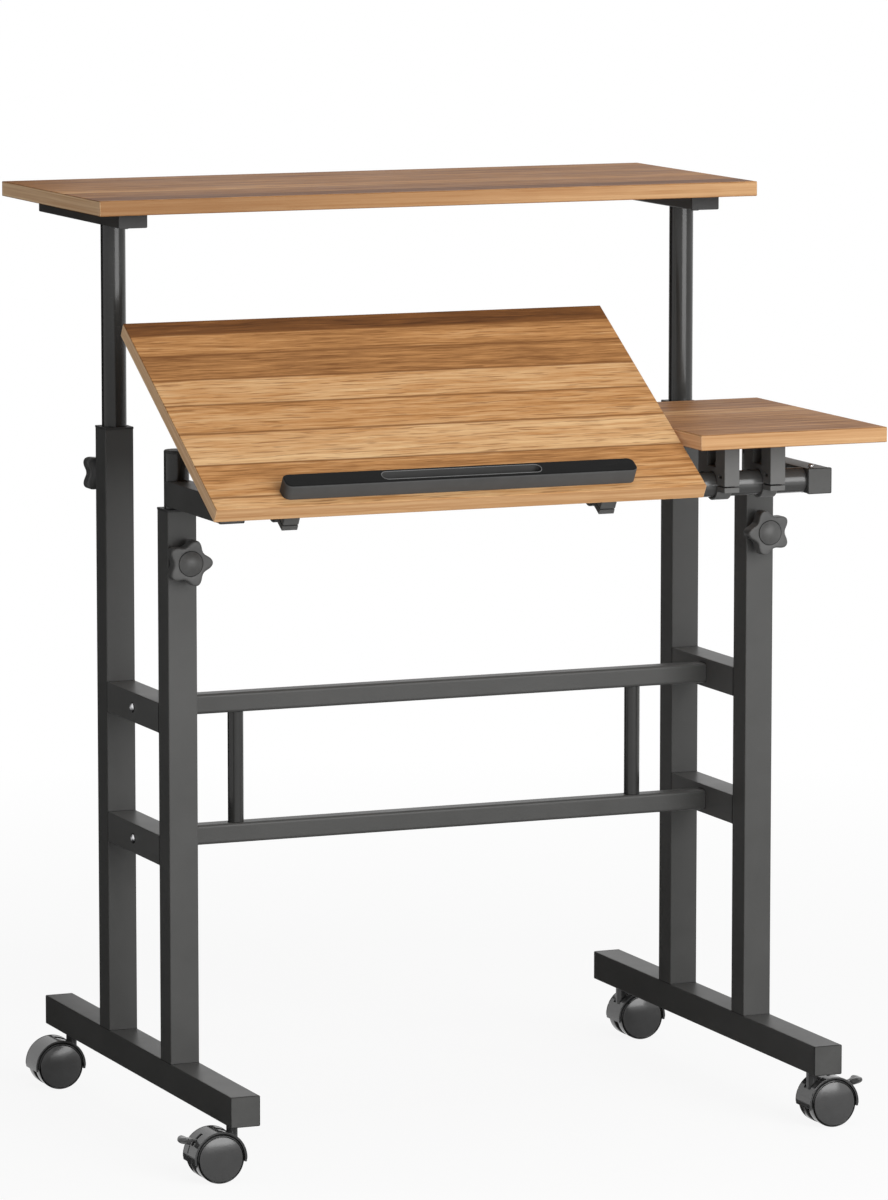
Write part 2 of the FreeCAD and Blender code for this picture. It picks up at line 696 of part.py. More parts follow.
# Hood about the axle along Y: a band over both wheels, notched at the stem, on a middle web
def hood_solid(braked):
    half = hood_web / 2 + wheel_gap + wheel_width - hood_inset
    inner = hood_radius - hood_band
    skirt = -hood_skirt
    below = box(-hood_radius, hood_radius, -half, half, -hood_radius, skirt)
    band = rod(hood_radius, V(0, -half, 0), y_axis, 2 * half)
    band = band.cut(rod(inner, V(0, -half, 0), y_axis, 2 * half)).cut(below)
    notch_low = hood_radius * math.sin(math.radians(hood_notch_angle))
    notch = hood_notch_width / 2
    band = band.cut(box(-hood_radius, 0, -notch, notch, notch_low, hood_radius))
    if braked:
        vent = vent_width / 2
        band = band.cut(box(0, hood_radius, -vent - lever_neck_width, vent - lever_neck_width,
                            hood_skirt, hood_skirt + vent_height))
    web = rod(inner + hood_band / 2, V(0, -hood_web / 2, 0), y_axis, hood_web).cut(below)
    boss = rod(axle_boss_radius, V(0, -hood_web / 2, 0), y_axis, hood_web)
    boss_top = foot_bottom - socket_flange - swivel_gap - wheel_radius
    boss_bottom = math.sqrt(wheel_radius ** 2 - caster_trail ** 2) + hood_gap
    stem = rod(stem_boss_radius, V(-caster_trail, 0, boss_bottom), z_axis, boss_top - boss_bottom)
    rib = box(-caster_trail - stem_boss_radius, -caster_trail, -hood_web / 2, hood_web / 2,
              0, boss_bottom + hood_gap)
    rib = rib.common(rod(stem_boss_radius, V(-caster_trail, 0, 0), z_axis, hood_radius))
    solid = band.fuse([web, boss, stem, rib]).removeSplitter()
    solid = solid.cut(rod(axle_radius + socket_fit, V(0, -hood_web / 2, 0), y_axis, hood_web))
    stem_hole = rod(stem_radius + socket_fit, V(-caster_trail, 0, boss_top), z_axis * -1, stem_seat)
    solid = solid.cut(stem_hole)
    if braked:
        solid = solid.cut(lever_room())
    return solid


# Pivot of the brake lever in the hood's own frame
def lever_pivot():
    angle = math.radians(lever_pivot_angle)
    return V(lever_pivot_radius * math.cos(angle), 0, lever_pivot_radius * math.sin(angle))


# Slot and pin hole that the brake lever moves in
def lever_room():
    pivot = lever_pivot()
    gap = lever_slot_gap
    half = lever_neck_width / 2 + gap
    low = -lever_length * math.sin(math.radians(lever_press - lever_rise)) - lever_thickness / 2 - gap
    high = lever_length * math.sin(math.radians(lever_rise)) + lever_thickness / 2 + gap
    back = lever_thickness / 2 + gap
    slot = box(pivot.x - back, pivot.x + lever_length, -half, half, pivot.z + low, pivot.z + high)
    pin = rod(lever_pin_radius + running_fit, pivot - y_axis * (hood_web / 2), y_axis, hood_web)
    return slot.fuse(pin)


# Brake lever: a rounded paddle on a narrow neck with a cross pin
def lever_solid():
    pivot = lever_pivot()
    t = lever_thickness / 2
    neck = box(0, lever_neck_length, -lever_neck_width / 2, lever_neck_width / 2, -t, t)
    knuckle = rod(t, V(0, -lever_neck_width / 2, 0), y_axis, lever_neck_width)
    pin = rod(lever_pin_radius, V(0, -hood_web / 2, 0), y_axis, hood_web)
    root = lever_neck_length - t
    shoulder = lever_length - lever_tip_round
    low = -t - lever_skirt
    root_left, root_right = [V(root, s * lever_root_width / 2, low) for s in (-1, 1)]
    left, right = [V(shoulder, s * lever_width / 2, low) for s in (-1, 1)]
    outline = [Part.LineSegment(root_left, left).toShape(),
               Part.Arc(left, V(lever_length, 0, low), right).toShape(),
               Part.LineSegment(right, root_right).toShape(),
               Part.LineSegment(root_right, root_left).toShape()]
    paddle = Part.Face(Part.Wire(outline)).extrude(z_axis * (lever_thickness + lever_skirt))
    solid = neck.fuse([knuckle, pin, paddle]).removeSplitter()
    solid.rotate(V(0, 0, 0), y_axis, -lever_rise)
    solid.translate(pivot)
    return solid


# Axle and stem of one caster in the hood's own frame
def caster_pins():
    reach = hood_web / 2 + wheel_gap + wheel_bore_depth - axle_end_gap
    axle = rod(axle_radius, V(0, -reach, 0), y_axis, 2 * reach)
    seat = foot_bottom - socket_flange - swivel_gap - wheel_radius - stem_seat
    top = foot_bottom + stem_length - wheel_radius
    stem = rod(stem_radius, V(-caster_trail, 0, seat), z_axis, top - seat)
    return [axle, stem]


# One caster, trailing outwards from its foot; the front ones carry brake levers
def make_caster(side, sign, end, facing):
    name = end + "_" + side + "_caster"
    swivel = V(sign * post_x, facing * (foot_length / 2 - caster_inset), 0)
    axle = V(swivel.x + sign * caster_trail, swivel.y, wheel_radius)
    turn = FreeCAD.Rotation(z_axis, 0 if sign > 0 else 180)
    frame = FreeCAD.Placement(axle, turn)
    braked = end == "front"
    add_in_frame(name + "_hood", frame, hood_solid(braked))
    add_in_frame(name + "_pins", frame, *caster_pins())
    for label, way in (("inner", -facing * sign), ("outer", facing * sign)):
        wheel = wheel_solid()
        wheel.rotate(V(0, 0, 0), x_axis, -90 * way)
        wheel.translate(y_axis * (way * (hood_web / 2 + wheel_gap)))
        add_in_frame(name + "_wheel_" + label, frame, wheel)
    if braked:
        add_in_frame(name + "_brake_lever", frame, lever_solid())


# Add solids made in a local frame
def add_in_frame(node, frame, *solids):
    for solid in solids:
        solid.Placement = frame.multiply(solid.Placement)
        add(node, solid)


# Build every piece
for side_name, side_sign in sides.items():
    make_foot(side_name, side_sign)
    make_rungs(side_sign)
    make_upright(side_name, side_sign)
    make_arm(side_name, side_sign)
    for end_name, end_sign in ends.items():
        make_post(side_name, side_sign, end_name, end_sign)
        make_knob(side_name, side_sign, end_name, end_sign)
        make_caster(side_name, side_sign, end_name, end_sign)
make_crossbars()
make_spindles()
make_side_board()
make_tilt_board()
make_shelf()

# Centre the desk on the origin and write one file for each node
os.makedirs("parts", exist_ok=True)
for node_name, solids in nodes.items():
    shape = solids[0] if len(solids) == 1 else Part.makeCompound(solids)
    shape.translate(y_axis * -desk_middle_y)
    shape.exportStep("parts/" + node_name + ".step")
print(len(nodes), "nodes,", sum(len(s) for s in nodes.values()), "solids, base at", -desk_middle_y)
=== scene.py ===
import math
import bmesh
import bpy
import numpy as np
from mathutils import Matrix, Vector


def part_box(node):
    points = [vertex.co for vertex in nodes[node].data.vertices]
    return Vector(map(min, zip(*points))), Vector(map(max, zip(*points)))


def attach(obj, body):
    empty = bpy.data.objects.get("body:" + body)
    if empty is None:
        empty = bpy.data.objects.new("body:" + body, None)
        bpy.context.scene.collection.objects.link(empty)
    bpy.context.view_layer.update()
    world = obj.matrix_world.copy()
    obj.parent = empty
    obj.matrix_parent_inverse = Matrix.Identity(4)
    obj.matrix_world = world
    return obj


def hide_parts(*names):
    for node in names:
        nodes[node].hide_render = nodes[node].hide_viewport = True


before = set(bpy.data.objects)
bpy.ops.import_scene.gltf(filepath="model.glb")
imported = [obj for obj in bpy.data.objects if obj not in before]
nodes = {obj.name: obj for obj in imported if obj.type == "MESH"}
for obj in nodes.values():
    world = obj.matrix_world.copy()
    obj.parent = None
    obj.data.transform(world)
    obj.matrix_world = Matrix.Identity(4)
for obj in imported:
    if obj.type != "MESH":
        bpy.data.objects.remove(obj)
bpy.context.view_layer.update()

scene = bpy.context.scene
print("frame loaded:", len(nodes), "nodes")

# sizes and places shared by several pieces, in millimetres
baseY = 9.6156  # middle of the base along Y
postX, postY, postSide = 312.5, 90.0, 30.0
footLength, footMiddle, footTop = 545.0, 74.0, 89.0
rungHeights = (299.0, 431.5)
barSide, spindleX, spindleRadius = 20.0, 218.0, 8.0
armSide = 25.0  # the pivot tube between the arms is as wide
pivotY, pivotZ, tiltDeg = baseY - 227.0, 656.0, 31.0
tiltCos, tiltSin = math.cos(math.radians(tiltDeg)), math.sin(math.radians(tiltDeg))
sides = (("left", -1), ("right", 1))
ends = (("front", -1), ("rear", 1))

# where local x, y and z are laid: with z along X, with z along -Y, and on the tilted board
facingX = ((0, 1, 0), (0, 0, 1), (1, 0, 0))
facingY = ((1, 0, 0), (0, 0, 1), (0, -1, 0))
onTilt = ((1, 0, 0), (0, tiltCos, tiltSin), (0, -tiltSin, tiltCos))


def tiltPlace(x, along, up):  # a place along and square to the tilted board, from its pivot
    return (x, pivotY + along * tiltCos - up * tiltSin, pivotZ + along * tiltSin + up * tiltCos)


# shader helpers
def feed(tree, node, sockets):  # a socket takes a value, a colour of three or another node's output
    for key, value in sockets.items():
        target = node.inputs[key]
        if isinstance(value, bpy.types.NodeSocket):
            tree.links.new(value, target)
        elif target.type == "RGBA":
            target.default_value = (*value, 1.0)
        else:
            target.default_value = value
    return node


def put(tree, kind, sockets=None, **settings):  # new shader node
    node = tree.nodes.new("ShaderNode" + kind)
    for key, value in settings.items():
        setattr(node, key, value)
    return feed(tree, node, sockets or {})


def calc(tree, how, a, b=0.0, c=0.0):  # one math node
    return put(tree, "Math", {0: a, 1: b, 2: c}, operation=how).outputs[0]


def remap(tree, value, low, high, toLow=0.0, toHigh=1.0):  # clamped straight-line map
    return put(tree, "MapRange", {"Value": value, "From Min": low, "From Max": high,
                                  "To Min": toLow, "To Max": toHigh}).outputs["Result"]


def tint(tree, fac, a, b):  # mix of two colours
    return put(tree, "Mix", {0: fac, 6: a, 7: b}, data_type="RGBA").outputs[2]


def noise(tree, where, scale, detail, **sockets):  # grey noise, 0 to 1
    sockets.update({"Vector": where, "Scale": scale, "Detail": detail})
    return put(tree, "TexNoise", sockets).outputs["Fac"]


def grey(value):
    return (value, value, value)


def newGroup(name, size, outputs):  # node group with a vector and one size as inputs
    tree = bpy.data.node_groups.new(name, "ShaderNodeTree")
    tree.interface.new_socket("Vector", in_out="INPUT", socket_type="NodeSocketVector")
    label, value = size
    tree.interface.new_socket(label, in_out="INPUT", socket_type="NodeSocketFloat").default_value = value
    for label, kind in outputs:
        tree.interface.new_socket(label, in_out="OUTPUT", socket_type="NodeSocket" + kind)
    return tree, tree.nodes.new("NodeGroupInput").outputs, tree.nodes.new("NodeGroupOutput").inputs


def useGroup(tree, group, **sockets):  # place a shared group in a material
    return feed(tree, put(tree, "Group", node_tree=group), sockets).outputs


def blotchGroup():  # slow cloudy variation: two noises, one five times finer
    tree, given, made = newGroup("blotches", ("Scale", 6.0), [("Value", "Float")])
    big = noise(tree, given["Vector"], given["Scale"], 3.0)
    fine = noise(tree, given["Vector"], calc(tree, "MULTIPLY", given["Scale"], 5.3), 4.0)
    both = calc(tree, "MULTIPLY_ADD", fine, 0.4, calc(tree, "MULTIPLY", big, 0.6))
    tree.links.new(remap(tree, both, 0.3, 0.7), made["Value"])
    return tree


def rubbedAndLitEdgeGroup():  # rounded normal at sharp edges, and a broken mask where the rounding turns it, which lightens edges as rubbed wear and as painted highlight
    tree, given, made = newGroup("rubbedAndLitEdges", ("Radius", 0.001), [("Mask", "Float"), ("Normal", "Vector")])
    soft = put(tree, "Bevel", {"Radius": given["Radius"]}, samples=4).outputs["Normal"]
    flat = put(tree, "NewGeometry").outputs["True Normal"]
    lean = put(tree, "VectorMath", {0: soft, 1: flat}, operation="DOT_PRODUCT").outputs["Value"]
    ridge = remap(tree, lean, 0.995, 0.86)
    gaps = noise(tree, given["Vector"], 70.0, 5.0)
    tree.links.new(calc(tree, "MULTIPLY", ridge, remap(tree, gaps, 0.42, 0.68)), made["Mask"])
    tree.links.new(soft, made["Normal"])
    return tree


def fineGrainGroup():  # orange-peel and speckle heights for coatings and moulded skins
    tree, given, made = newGroup("fineGrain", ("Scale", 700.0), [("Height", "Float")])
    peel = noise(tree, given["Vector"], given["Scale"], 2.0)
    speck = noise(tree, given["Vector"], calc(tree, "MULTIPLY", given["Scale"], 3.1), 1.0)
    tree.links.new(calc(tree, "MULTIPLY_ADD", speck, 0.35, peel), made["Height"])
    return tree


def hairlineGroup():  # sparse fine scuffs: stretched noise, kept only near one level
    tree, given, made = newGroup("hairlines", ("Scale", 30.0), [("Mask", "Float")])
    turned = put(tree, "Mapping", {"Vector": given["Vector"], "Rotation": (0.3, 0.9, 0.6),
                                   "Scale": (1.0, 14.0, 6.0)}).outputs[0]
    level = noise(tree, turned, given["Scale"], 2.0)
    line = remap(tree, calc(tree, "ABSOLUTE", calc(tree, "SUBTRACT", level, 0.5)), 0.012, 0.0)
    patches = remap(tree, noise(tree, given["Vector"], 9.0, 1.0), 0.52, 0.66)
    tree.links.new(calc(tree, "MULTIPLY", line, patches), made["Mask"])
    return tree


blotches, rubbedAndLitEdges = blotchGroup(), rubbedAndLitEdgeGroup()
fineGrain, hairlines = fineGrainGroup(), hairlineGroup()


def blankMaterial(name):
    mat = bpy.data.materials.new(name)
    mat.use_nodes = True
    mat.node_tree.nodes.clear()
    return mat, mat.node_tree


def closeMaterial(tree, shader):
    put(tree, "OutputMaterial", {"Surface": shader.outputs[0]})


def levelled(tree, where, corner, tilt):  # coordinates from a corner, turned level about X
    angle = -math.radians(tilt)
    shift = -(Matrix.Rotation(angle, 3, "X") @ Vector(corner))
    return put(tree, "Mapping", {"Vector": where, "Location": shift,
                                 "Rotation": (angle, 0.0, 0.0)}).outputs[0]


# satin paint or moulded plastic: two tones, roughness spread, skin bump, lighter edges that are partly rubbed
# wear and partly painted highlight, painted shade in marked grooves
def coated(name, look, **changes):
    spec = dict(look, **changes)
    mat, tree = blankMaterial(name)
    where = put(tree, "TexCoord").outputs["Object"]
    cloud = useGroup(tree, blotches, Vector=where, Scale=spec["cloud"])["Value"]
    edge = useGroup(tree, rubbedAndLitEdges, Vector=where, Radius=spec["edgeRadius"])
    skin = useGroup(tree, fineGrain, Vector=where, Scale=spec["grain"])["Height"]
    scuff = useGroup(tree, hairlines, Vector=where, Scale=spec["scuffScale"])["Mask"]
    colour = tint(tree, cloud, spec["dark"], spec["light"])
    if "topCorner" in spec:  # darker upper face, found by height above the tilted board
        place = levelled(tree, where, spec["topCorner"], tiltDeg)
        height = put(tree, "SeparateXYZ", {0: place}).outputs["Z"]
        pad = tint(tree, cloud, spec["topDark"], spec["topLight"])
        colour = tint(tree, remap(tree, height, *spec["topStart"]), colour, pad)
    # edges lighter from rubbed wear and painted highlight, scuffs lighter from wear
    for mask, amount in ((edge["Mask"], spec["edgeAmount"]), (scuff, spec["scuffAmount"])):
        colour = tint(tree, calc(tree, "MULTIPLY", mask, amount), colour, spec["edgeColour"])
    if "dirt" in spec:  # painted shade in the grooves that a piece marks
        marked = put(tree, "Attribute", attribute_name="groove").outputs["Fac"]
        colour = tint(tree, marked, colour, spec["dirt"])
    rough = remap(tree, cloud, 0.0, 1.0, *spec["rough"])
    rough = calc(tree, "ADD", rough, calc(tree, "MULTIPLY", scuff, spec["scuffRough"]))
    bump = put(tree, "Bump", {"Height": skin, "Normal": edge["Normal"], "Strength": spec["bump"],
                              "Distance": spec["bumpDepth"]})
    closeMaterial(tree, put(tree, "BsdfPrincipled", {
        "Base Color": colour, "Roughness": rough, "Normal": bump.outputs[0],
        "Specular IOR Level": spec["specular"]}))
    return mat


# paint on the steel
coatLook = dict(dark=(0.058, 0.058, 0.056), light=(0.074, 0.074, 0.072), cloud=5.0, rough=(0.34, 0.44),
                edgeRadius=0.0007, edgeAmount=0.3, edgeColour=(0.16, 0.16, 0.158), grain=620.0, bump=0.08,
                bumpDepth=0.0003, scuffScale=26.0, scuffAmount=0.06, scuffRough=0.12, specular=0.22)
tubeLook = dict(coatLook, dark=(0.024, 0.024, 0.023), light=(0.034, 0.034, 0.033), cloud=7.0,
                rough=(0.14, 0.20), edgeRadius=0.0008, edgeColour=(0.14, 0.14, 0.138), grain=800.0, bump=0.06,
                scuffScale=34.0, scuffAmount=0.10, specular=0.34)
coat = coated("charcoalCoat", coatLook)
# a lighter copy of the same paint for the rungs: painted light
rungCoatLit = coated("rungCoatLit", coatLook, dark=(0.085, 0.085, 0.083), light=(0.102, 0.102, 0.100))
tubeCoat = coated("charcoalTubeCoat", tubeLook)
glossTube = coated("glossTubeCoat", tubeLook, dark=(0.052, 0.052, 0.051), light=(0.064, 0.064, 0.063),
                   rough=(0.18, 0.26), edgeColour=(0.15, 0.15, 0.148), bump=0.04, scuffAmount=0.08,
                   specular=0.5)

# moulded plastics, as changes of the end caps' one
# near-black painted shade for the gaps round the wheel discs and the knob caps
paintedGrooveShade = grey(0.004)
mouldLook = dict(coatLook, light=(0.070, 0.070, 0.068), cloud=30.0, rough=(0.38, 0.48), edgeRadius=0.0005,
                 edgeAmount=0.25, edgeColour=(0.17, 0.17, 0.168), grain=1200.0, bump=0.12, scuffScale=50.0,
                 scuffAmount=0.05, specular=0.24)
capPlastic = coated("capPlastic", mouldLook)
plugPlastic = coated("plugPlastic", mouldLook, dark=grey(0.030), light=grey(0.040), rough=(0.44, 0.56),
                     edgeColour=grey(0.12), bump=0.2)
clampPlastic = coated("clampPlastic", mouldLook, dark=(0.096, 0.096, 0.094), light=(0.116, 0.116, 0.114),
                      cloud=26.0, rough=(0.40, 0.52), edgeRadius=0.0006, edgeAmount=0.3,
                      edgeColour=(0.16, 0.16, 0.158), grain=1100.0, bump=0.2)
knobPlastic = coated("knobPlastic", mouldLook, dark=(0.066, 0.066, 0.065), light=(0.084, 0.084, 0.082),
                     rough=(0.36, 0.46), edgeRadius=0.0009, edgeAmount=0.45, edgeColour=(0.22, 0.22, 0.218),
                     grain=1500.0, bump=0.10, scuffScale=60.0, scuffAmount=0.08, specular=0.32,
                     dirt=paintedGrooveShade)
casterPlastic = coated("casterPlastic", mouldLook, dark=grey(0.062), light=grey(0.074), cloud=16.0,
                       rough=(0.12, 0.18), edgeRadius=0.0006, edgeAmount=0.4, edgeColour=grey(0.20),
                       grain=900.0, bump=0.015, scuffAmount=0.08, specular=0.5, dirt=paintedGrooveShade)
ledgeTop = 74.0  # height of the ledge's upper face above the pivot, square to the board
ledgePlastic = coated("ledgePlastic", mouldLook, dark=(0.066, 0.066, 0.065), light=(0.080, 0.080, 0.079),
                      topDark=grey(0.004), topLight=grey(0.008), topStart=(-0.0009, -0.0005),
                      topCorner=Vector(tiltPlace(0.0, 0.0, ledgeTop)) / 1000, cloud=16.0, rough=(0.44, 0.56),
                      edgeRadius=0.0009, edgeAmount=0.5, grain=1400.0, bump=0.15, scuffScale=40.0,
                      scuffAmount=0.08, specular=0.05)
print("coatings ready")


# bright metal: slight tone clouds, fine turning marks, dulled spots
def plated(name, look, **changes):
    spec = dict(look, **changes)
    mat, tree = blankMaterial(name)
    where = put(tree, "TexCoord").outputs["Object"]
    cloud = useGroup(tree, blotches, Vector=where, Scale=spec["cloud"])["Value"]
    scuff = useGroup(tree, hairlines, Vector=where, Scale=spec["scuffScale"])["Mask"]
    skin = useGroup(tree, fineGrain, Vector=where, Scale=spec["grain"])["Height"]
    colour = tint(tree, cloud, spec["dark"], spec["light"])
    rough = remap(tree, cloud, 0.0, 1.0, *spec["rough"])
    rough = calc(tree, "ADD", rough, calc(tree, "MULTIPLY", scuff, spec["scuffRough"]))
    bump = put(tree, "Bump", {"Height": skin, "Strength": spec["bump"], "Distance": spec["bumpDepth"]})
    closeMaterial(tree, put(tree, "BsdfPrincipled", {
        "Base Color": colour, "Roughness": rough, "Normal": bump.outputs[0], "Metallic": 1.0}))
    return mat


zincLook = dict(dark=(0.42, 0.42, 0.43), light=(0.56, 0.56, 0.55), cloud=80.0, rough=(0.32, 0.46),
                grain=1500.0, bump=0.15, bumpDepth=0.0002, scuffScale=90.0, scuffRough=0.15)
zincPlate = plated("zincPlate", zincLook)
blackScrew = plated("blackScrew", zincLook, dark=(0.045, 0.045, 0.046), light=(0.075, 0.075, 0.076),
                    rough=(0.34, 0.48))
brightBolt = plated("brightBolt", zincLook, dark=(0.62, 0.62, 0.63), light=(0.80, 0.80, 0.81), cloud=60.0,
                    grain=1800.0, bump=0.05, rough=(0.30, 0.42))

# boards, in metres; a grain gives its scale along and across, its detail and its roughness; a share gives
# the span of its grain that counts and its weight; a stop gives a span of tone and the colour it runs to
boardLook = dict(thickness=0.015, reach=0.300, plankWidth=0.042, uneven=0.95, plankSlide=9.0,
                 drift=(14.0, 2.0), wave=0.005, bands=(1.3, 38.0, 3.0, 0.5), streak=(6.0, 130.0, 5.0, 0.66),
                 fibre=(20.0, 360.0, 4.0, 0.66), pores=(26.0, 460.0, 2.0, 0.5),
                 edgeGrain=(3.4, 300.0, 4.0, 0.6), endGrain=(300.0, 5.0, 420.0), endDetail=4.0,
                 toneStart=-0.44, plankShare=0.62,
                 shares=dict(bands=(0.30, 0.70, 0.26), streak=(0.28, 0.72, 0.42), fibre=(0.28, 0.72, 0.50)),
                 stops=((-0.50, -0.05, "darkTone"), (-0.05, 0.45, "midTone"), (0.42, 1.00, "lightTone")),
                 poreSpan=(0.56, 0.64, 0.0, 0.55), seamWidth=0.0020, seamCore=0.3, seamShade=0.78,
                 stripSpan=(0.30, 0.68), shadeSpan=(0.16, 0.50), endSpan=(0.34, 0.66), sideFacing=(0.6, 0.8),
                 bandInset=0.0006, insetEnd=0.7, lipAt=0.85, lipReach=0.0003, lipShade=0.45,
                 lightTone=(0.665, 0.435, 0.225), midTone=(0.445, 0.215, 0.076),
                 darkTone=(0.165, 0.064, 0.018), deepTone=(0.070, 0.025, 0.007),
                 bandTone=(0.53, 0.320, 0.160), bandDark=(0.38, 0.195, 0.082), endTone=(0.94, 0.66, 0.41),
                 endDark=(0.74, 0.45, 0.245), edgeRadius=0.0006, edgeAmount=0.25,
                 edgeColour=(0.72, 0.50, 0.29), cloud=7.0, rough=(0.50, 0.58), streakRough=-0.12,
                 fibreRise=0.6, poreRise=-1.2, bump=0.15, bumpDepth=0.0004, specular=0.06)


# printed board: planks across Y, long grain along X, darker to the back by depth, banded edges
def laminate(name, corner, tilt, seed, depth, darker=0.0, edgeShade=1.0):
    look = boardLook
    mat, tree = blankMaterial(name)
    coords = put(tree, "TexCoord").outputs
    where = levelled(tree, coords["Object"], corner, tilt)
    parts = put(tree, "SeparateXYZ", {0: where}).outputs
    row = calc(tree, "MULTIPLY_ADD", parts["Y"], 1.0 / look["plankWidth"], seed)
    cells = {"W": row, "Scale": 1.0, "Randomness": look["uneven"]}
    plank = put(tree, "TexVoronoi", cells, voronoi_dimensions="1D").outputs["Color"]
    gap = put(tree, "TexVoronoi", cells, voronoi_dimensions="1D",
              feature="DISTANCE_TO_EDGE").outputs["Distance"]
    own = put(tree, "SeparateColor", {0: plank}).outputs
    drift = calc(tree, "MULTIPLY_ADD", noise(tree, where, *look["drift"]), look["wave"], seed)
    slide = calc(tree, "MULTIPLY", own["Blue"], look["plankSlide"])
    offset = put(tree, "CombineXYZ", {"X": slide, "Y": drift}).outputs[0]
    base = put(tree, "VectorMath", {0: where, 1: offset}, operation="ADD").outputs[0]

    def stretched(along, across, detail, rough):  # noise drawn out along the grain
        drawn = put(tree, "Mapping", {"Vector": base, "Scale": (along, across, across)}).outputs[0]
        return noise(tree, drawn, 1.0, detail, Roughness=rough)

    # one tone from each plank's own shade and three grains, then four colours along it
    grains = {grain: stretched(*look[grain]) for grain in look["shares"]}
    tone = calc(tree, "MULTIPLY_ADD", own["Red"], look["plankShare"], look["toneStart"] - darker)
    for grain, (low, high, weight) in look["shares"].items():
        tone = calc(tree, "MULTIPLY_ADD", remap(tree, grains[grain], low, high), weight, tone)
    tone = calc(tree, "ADD", tone, remap(tree, parts["Y"], 0.0, look["reach"], 0.5 * depth, -0.5 * depth))
    colour = look["deepTone"]
    for low, high, shade in look["stops"]:
        colour = tint(tree, remap(tree, tone, low, high), colour, look[shade])
    pores = remap(tree, stretched(*look["pores"]), *look["poreSpan"])
    colour = tint(tree, pores, colour, look["darkTone"])
    thin = look["seamWidth"] / look["plankWidth"]
    line = remap(tree, gap, thin, thin * look["seamCore"], 0.0, look["seamShade"])
    colour = tint(tree, line, colour, look["darkTone"])

    # edge strips: long grain in front and behind, darker at one end by edgeShade, end grain at the sides
    edgeGrain = remap(tree, stretched(*look["edgeGrain"]), *look["stripSpan"])
    strip = tint(tree, edgeGrain, look["bandDark"], look["bandTone"])
    shade = remap(tree, parts["X"], *look["shadeSpan"], 1.0 - edgeShade, 0.0)
    strip = tint(tree, shade, strip, look["darkTone"])
    across = put(tree, "Mapping", {"Vector": where, "Scale": look["endGrain"]}).outputs[0]
    endGrain = remap(tree, noise(tree, across, 1.0, look["endDetail"]), *look["endSpan"])
    end = tint(tree, endGrain, look["endDark"], look["endTone"])
    facing = calc(tree, "ABSOLUTE", put(tree, "SeparateXYZ", {0: coords["Normal"]}).outputs["X"])
    band = tint(tree, remap(tree, facing, *look["sideFacing"]), strip, end)
    half, inset = look["thickness"] / 2, look["bandInset"]
    fromMiddle = calc(tree, "ABSOLUTE", calc(tree, "SUBTRACT", parts["Z"], half))
    colour = tint(tree, remap(tree, fromMiddle, half - inset, half - inset * look["insetEnd"]), band, colour)
    lip = calc(tree, "ABSOLUTE", calc(tree, "SUBTRACT", fromMiddle, half - inset * look["lipAt"]))
    lip = remap(tree, lip, look["lipReach"], 0.0, 0.0, look["lipShade"])
    colour = tint(tree, lip, colour, look["darkTone"])
    # sharp edges lighter from rubbed wear and painted highlight
    edge = useGroup(tree, rubbedAndLitEdges, Vector=where, Radius=look["edgeRadius"])
    colour = tint(tree, calc(tree, "MULTIPLY", edge["Mask"], look["edgeAmount"]), colour, look["edgeColour"])

    cloud = useGroup(tree, blotches, Vector=where, Scale=look["cloud"])["Value"]
    rough = remap(tree, cloud, 0.0, 1.0, *look["rough"])
    rough = calc(tree, "MULTIPLY_ADD", grains["streak"], look["streakRough"], rough)
    height = calc(tree, "MULTIPLY", pores, look["poreRise"])
    height = calc(tree, "MULTIPLY_ADD", grains["fibre"], look["fibreRise"], height)
    bump = put(tree, "Bump", {"Height": height, "Normal": edge["Normal"], "Strength": look["bump"],
                              "Distance": look["bumpDepth"]})
    closeMaterial(tree, put(tree, "BsdfPrincipled", {
        "Base Color": colour, "Roughness": rough, "Normal": bump.outputs[0],
        "Specular IOR Level": look["specular"]}))
    return mat


leanY, leanZ = -74.5, 43.0  # front lower corner of the writing board, level, from the pivot
tiltLow = Vector(tiltPlace(0.0, leanY, leanZ)) / 1000
tiltLow.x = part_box("tilt_board")[0].x
shelfWood = laminate("shelfLaminate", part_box("rear_shelf")[0], 0.0, 3.7, 0.0, 0.34, 0.5)
tiltWood = laminate("writingBoardLaminate", tiltLow, tiltDeg, 11.3, 0.76, 0.03)
sideWood = laminate("sideBoardLaminate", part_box("side_board")[0], 0.0, 20.9, 0.0, 0.12)
print("laminates ready")


# finishes on the model's own nodes
def dress(node, mat):
    node.data.materials.clear()
    node.data.materials.append(mat)


nodeFinish = dict(rear_shelf=shelfWood, tilt_board=tiltWood, side_board=sideWood, ledge=ledgePlastic,
                  pivot_tube=glossTube, rungs=rungCoatLit, knob_inserts=zincPlate, crossbar_bolts=brightBolt,
                  arm_bolts=brightBolt, foot_end_caps=capPlastic, arm_end_caps=capPlastic)
for name in ("left_shelf_tube", "right_shelf_tube", "left_upright", "right_upright", "spindles"):
    nodeFinish[name] = tubeCoat
for name in ("post_bushes", "shelf_plugs", "upright_plugs", "caster_sockets"):
    nodeFinish[name] = plugPlastic
# for the rest, the first of these words in a node's name decides, and no word means paint
wordFinish = (("screws", blackScrew), ("clamp", clampPlastic), ("_pins", zincPlate), ("_knob", knobPlastic),
              ("caster", casterPlastic), ("", coat))
for name, node in nodes.items():
    byWord = next(mat for word, mat in wordFinish if word in name)
    dress(node, nodeFinish.get(name, byWord))
print("node finishes set")


# surfaces as whole arrays
def fullTurn(steps):  # angles once round
    return np.linspace(0, 2 * np.pi, steps, endpoint=False)


def circle(angles):  # points of the unit circle: x = cos t, y = sin t
    return np.stack([np.cos(angles), np.sin(angles)], -1)


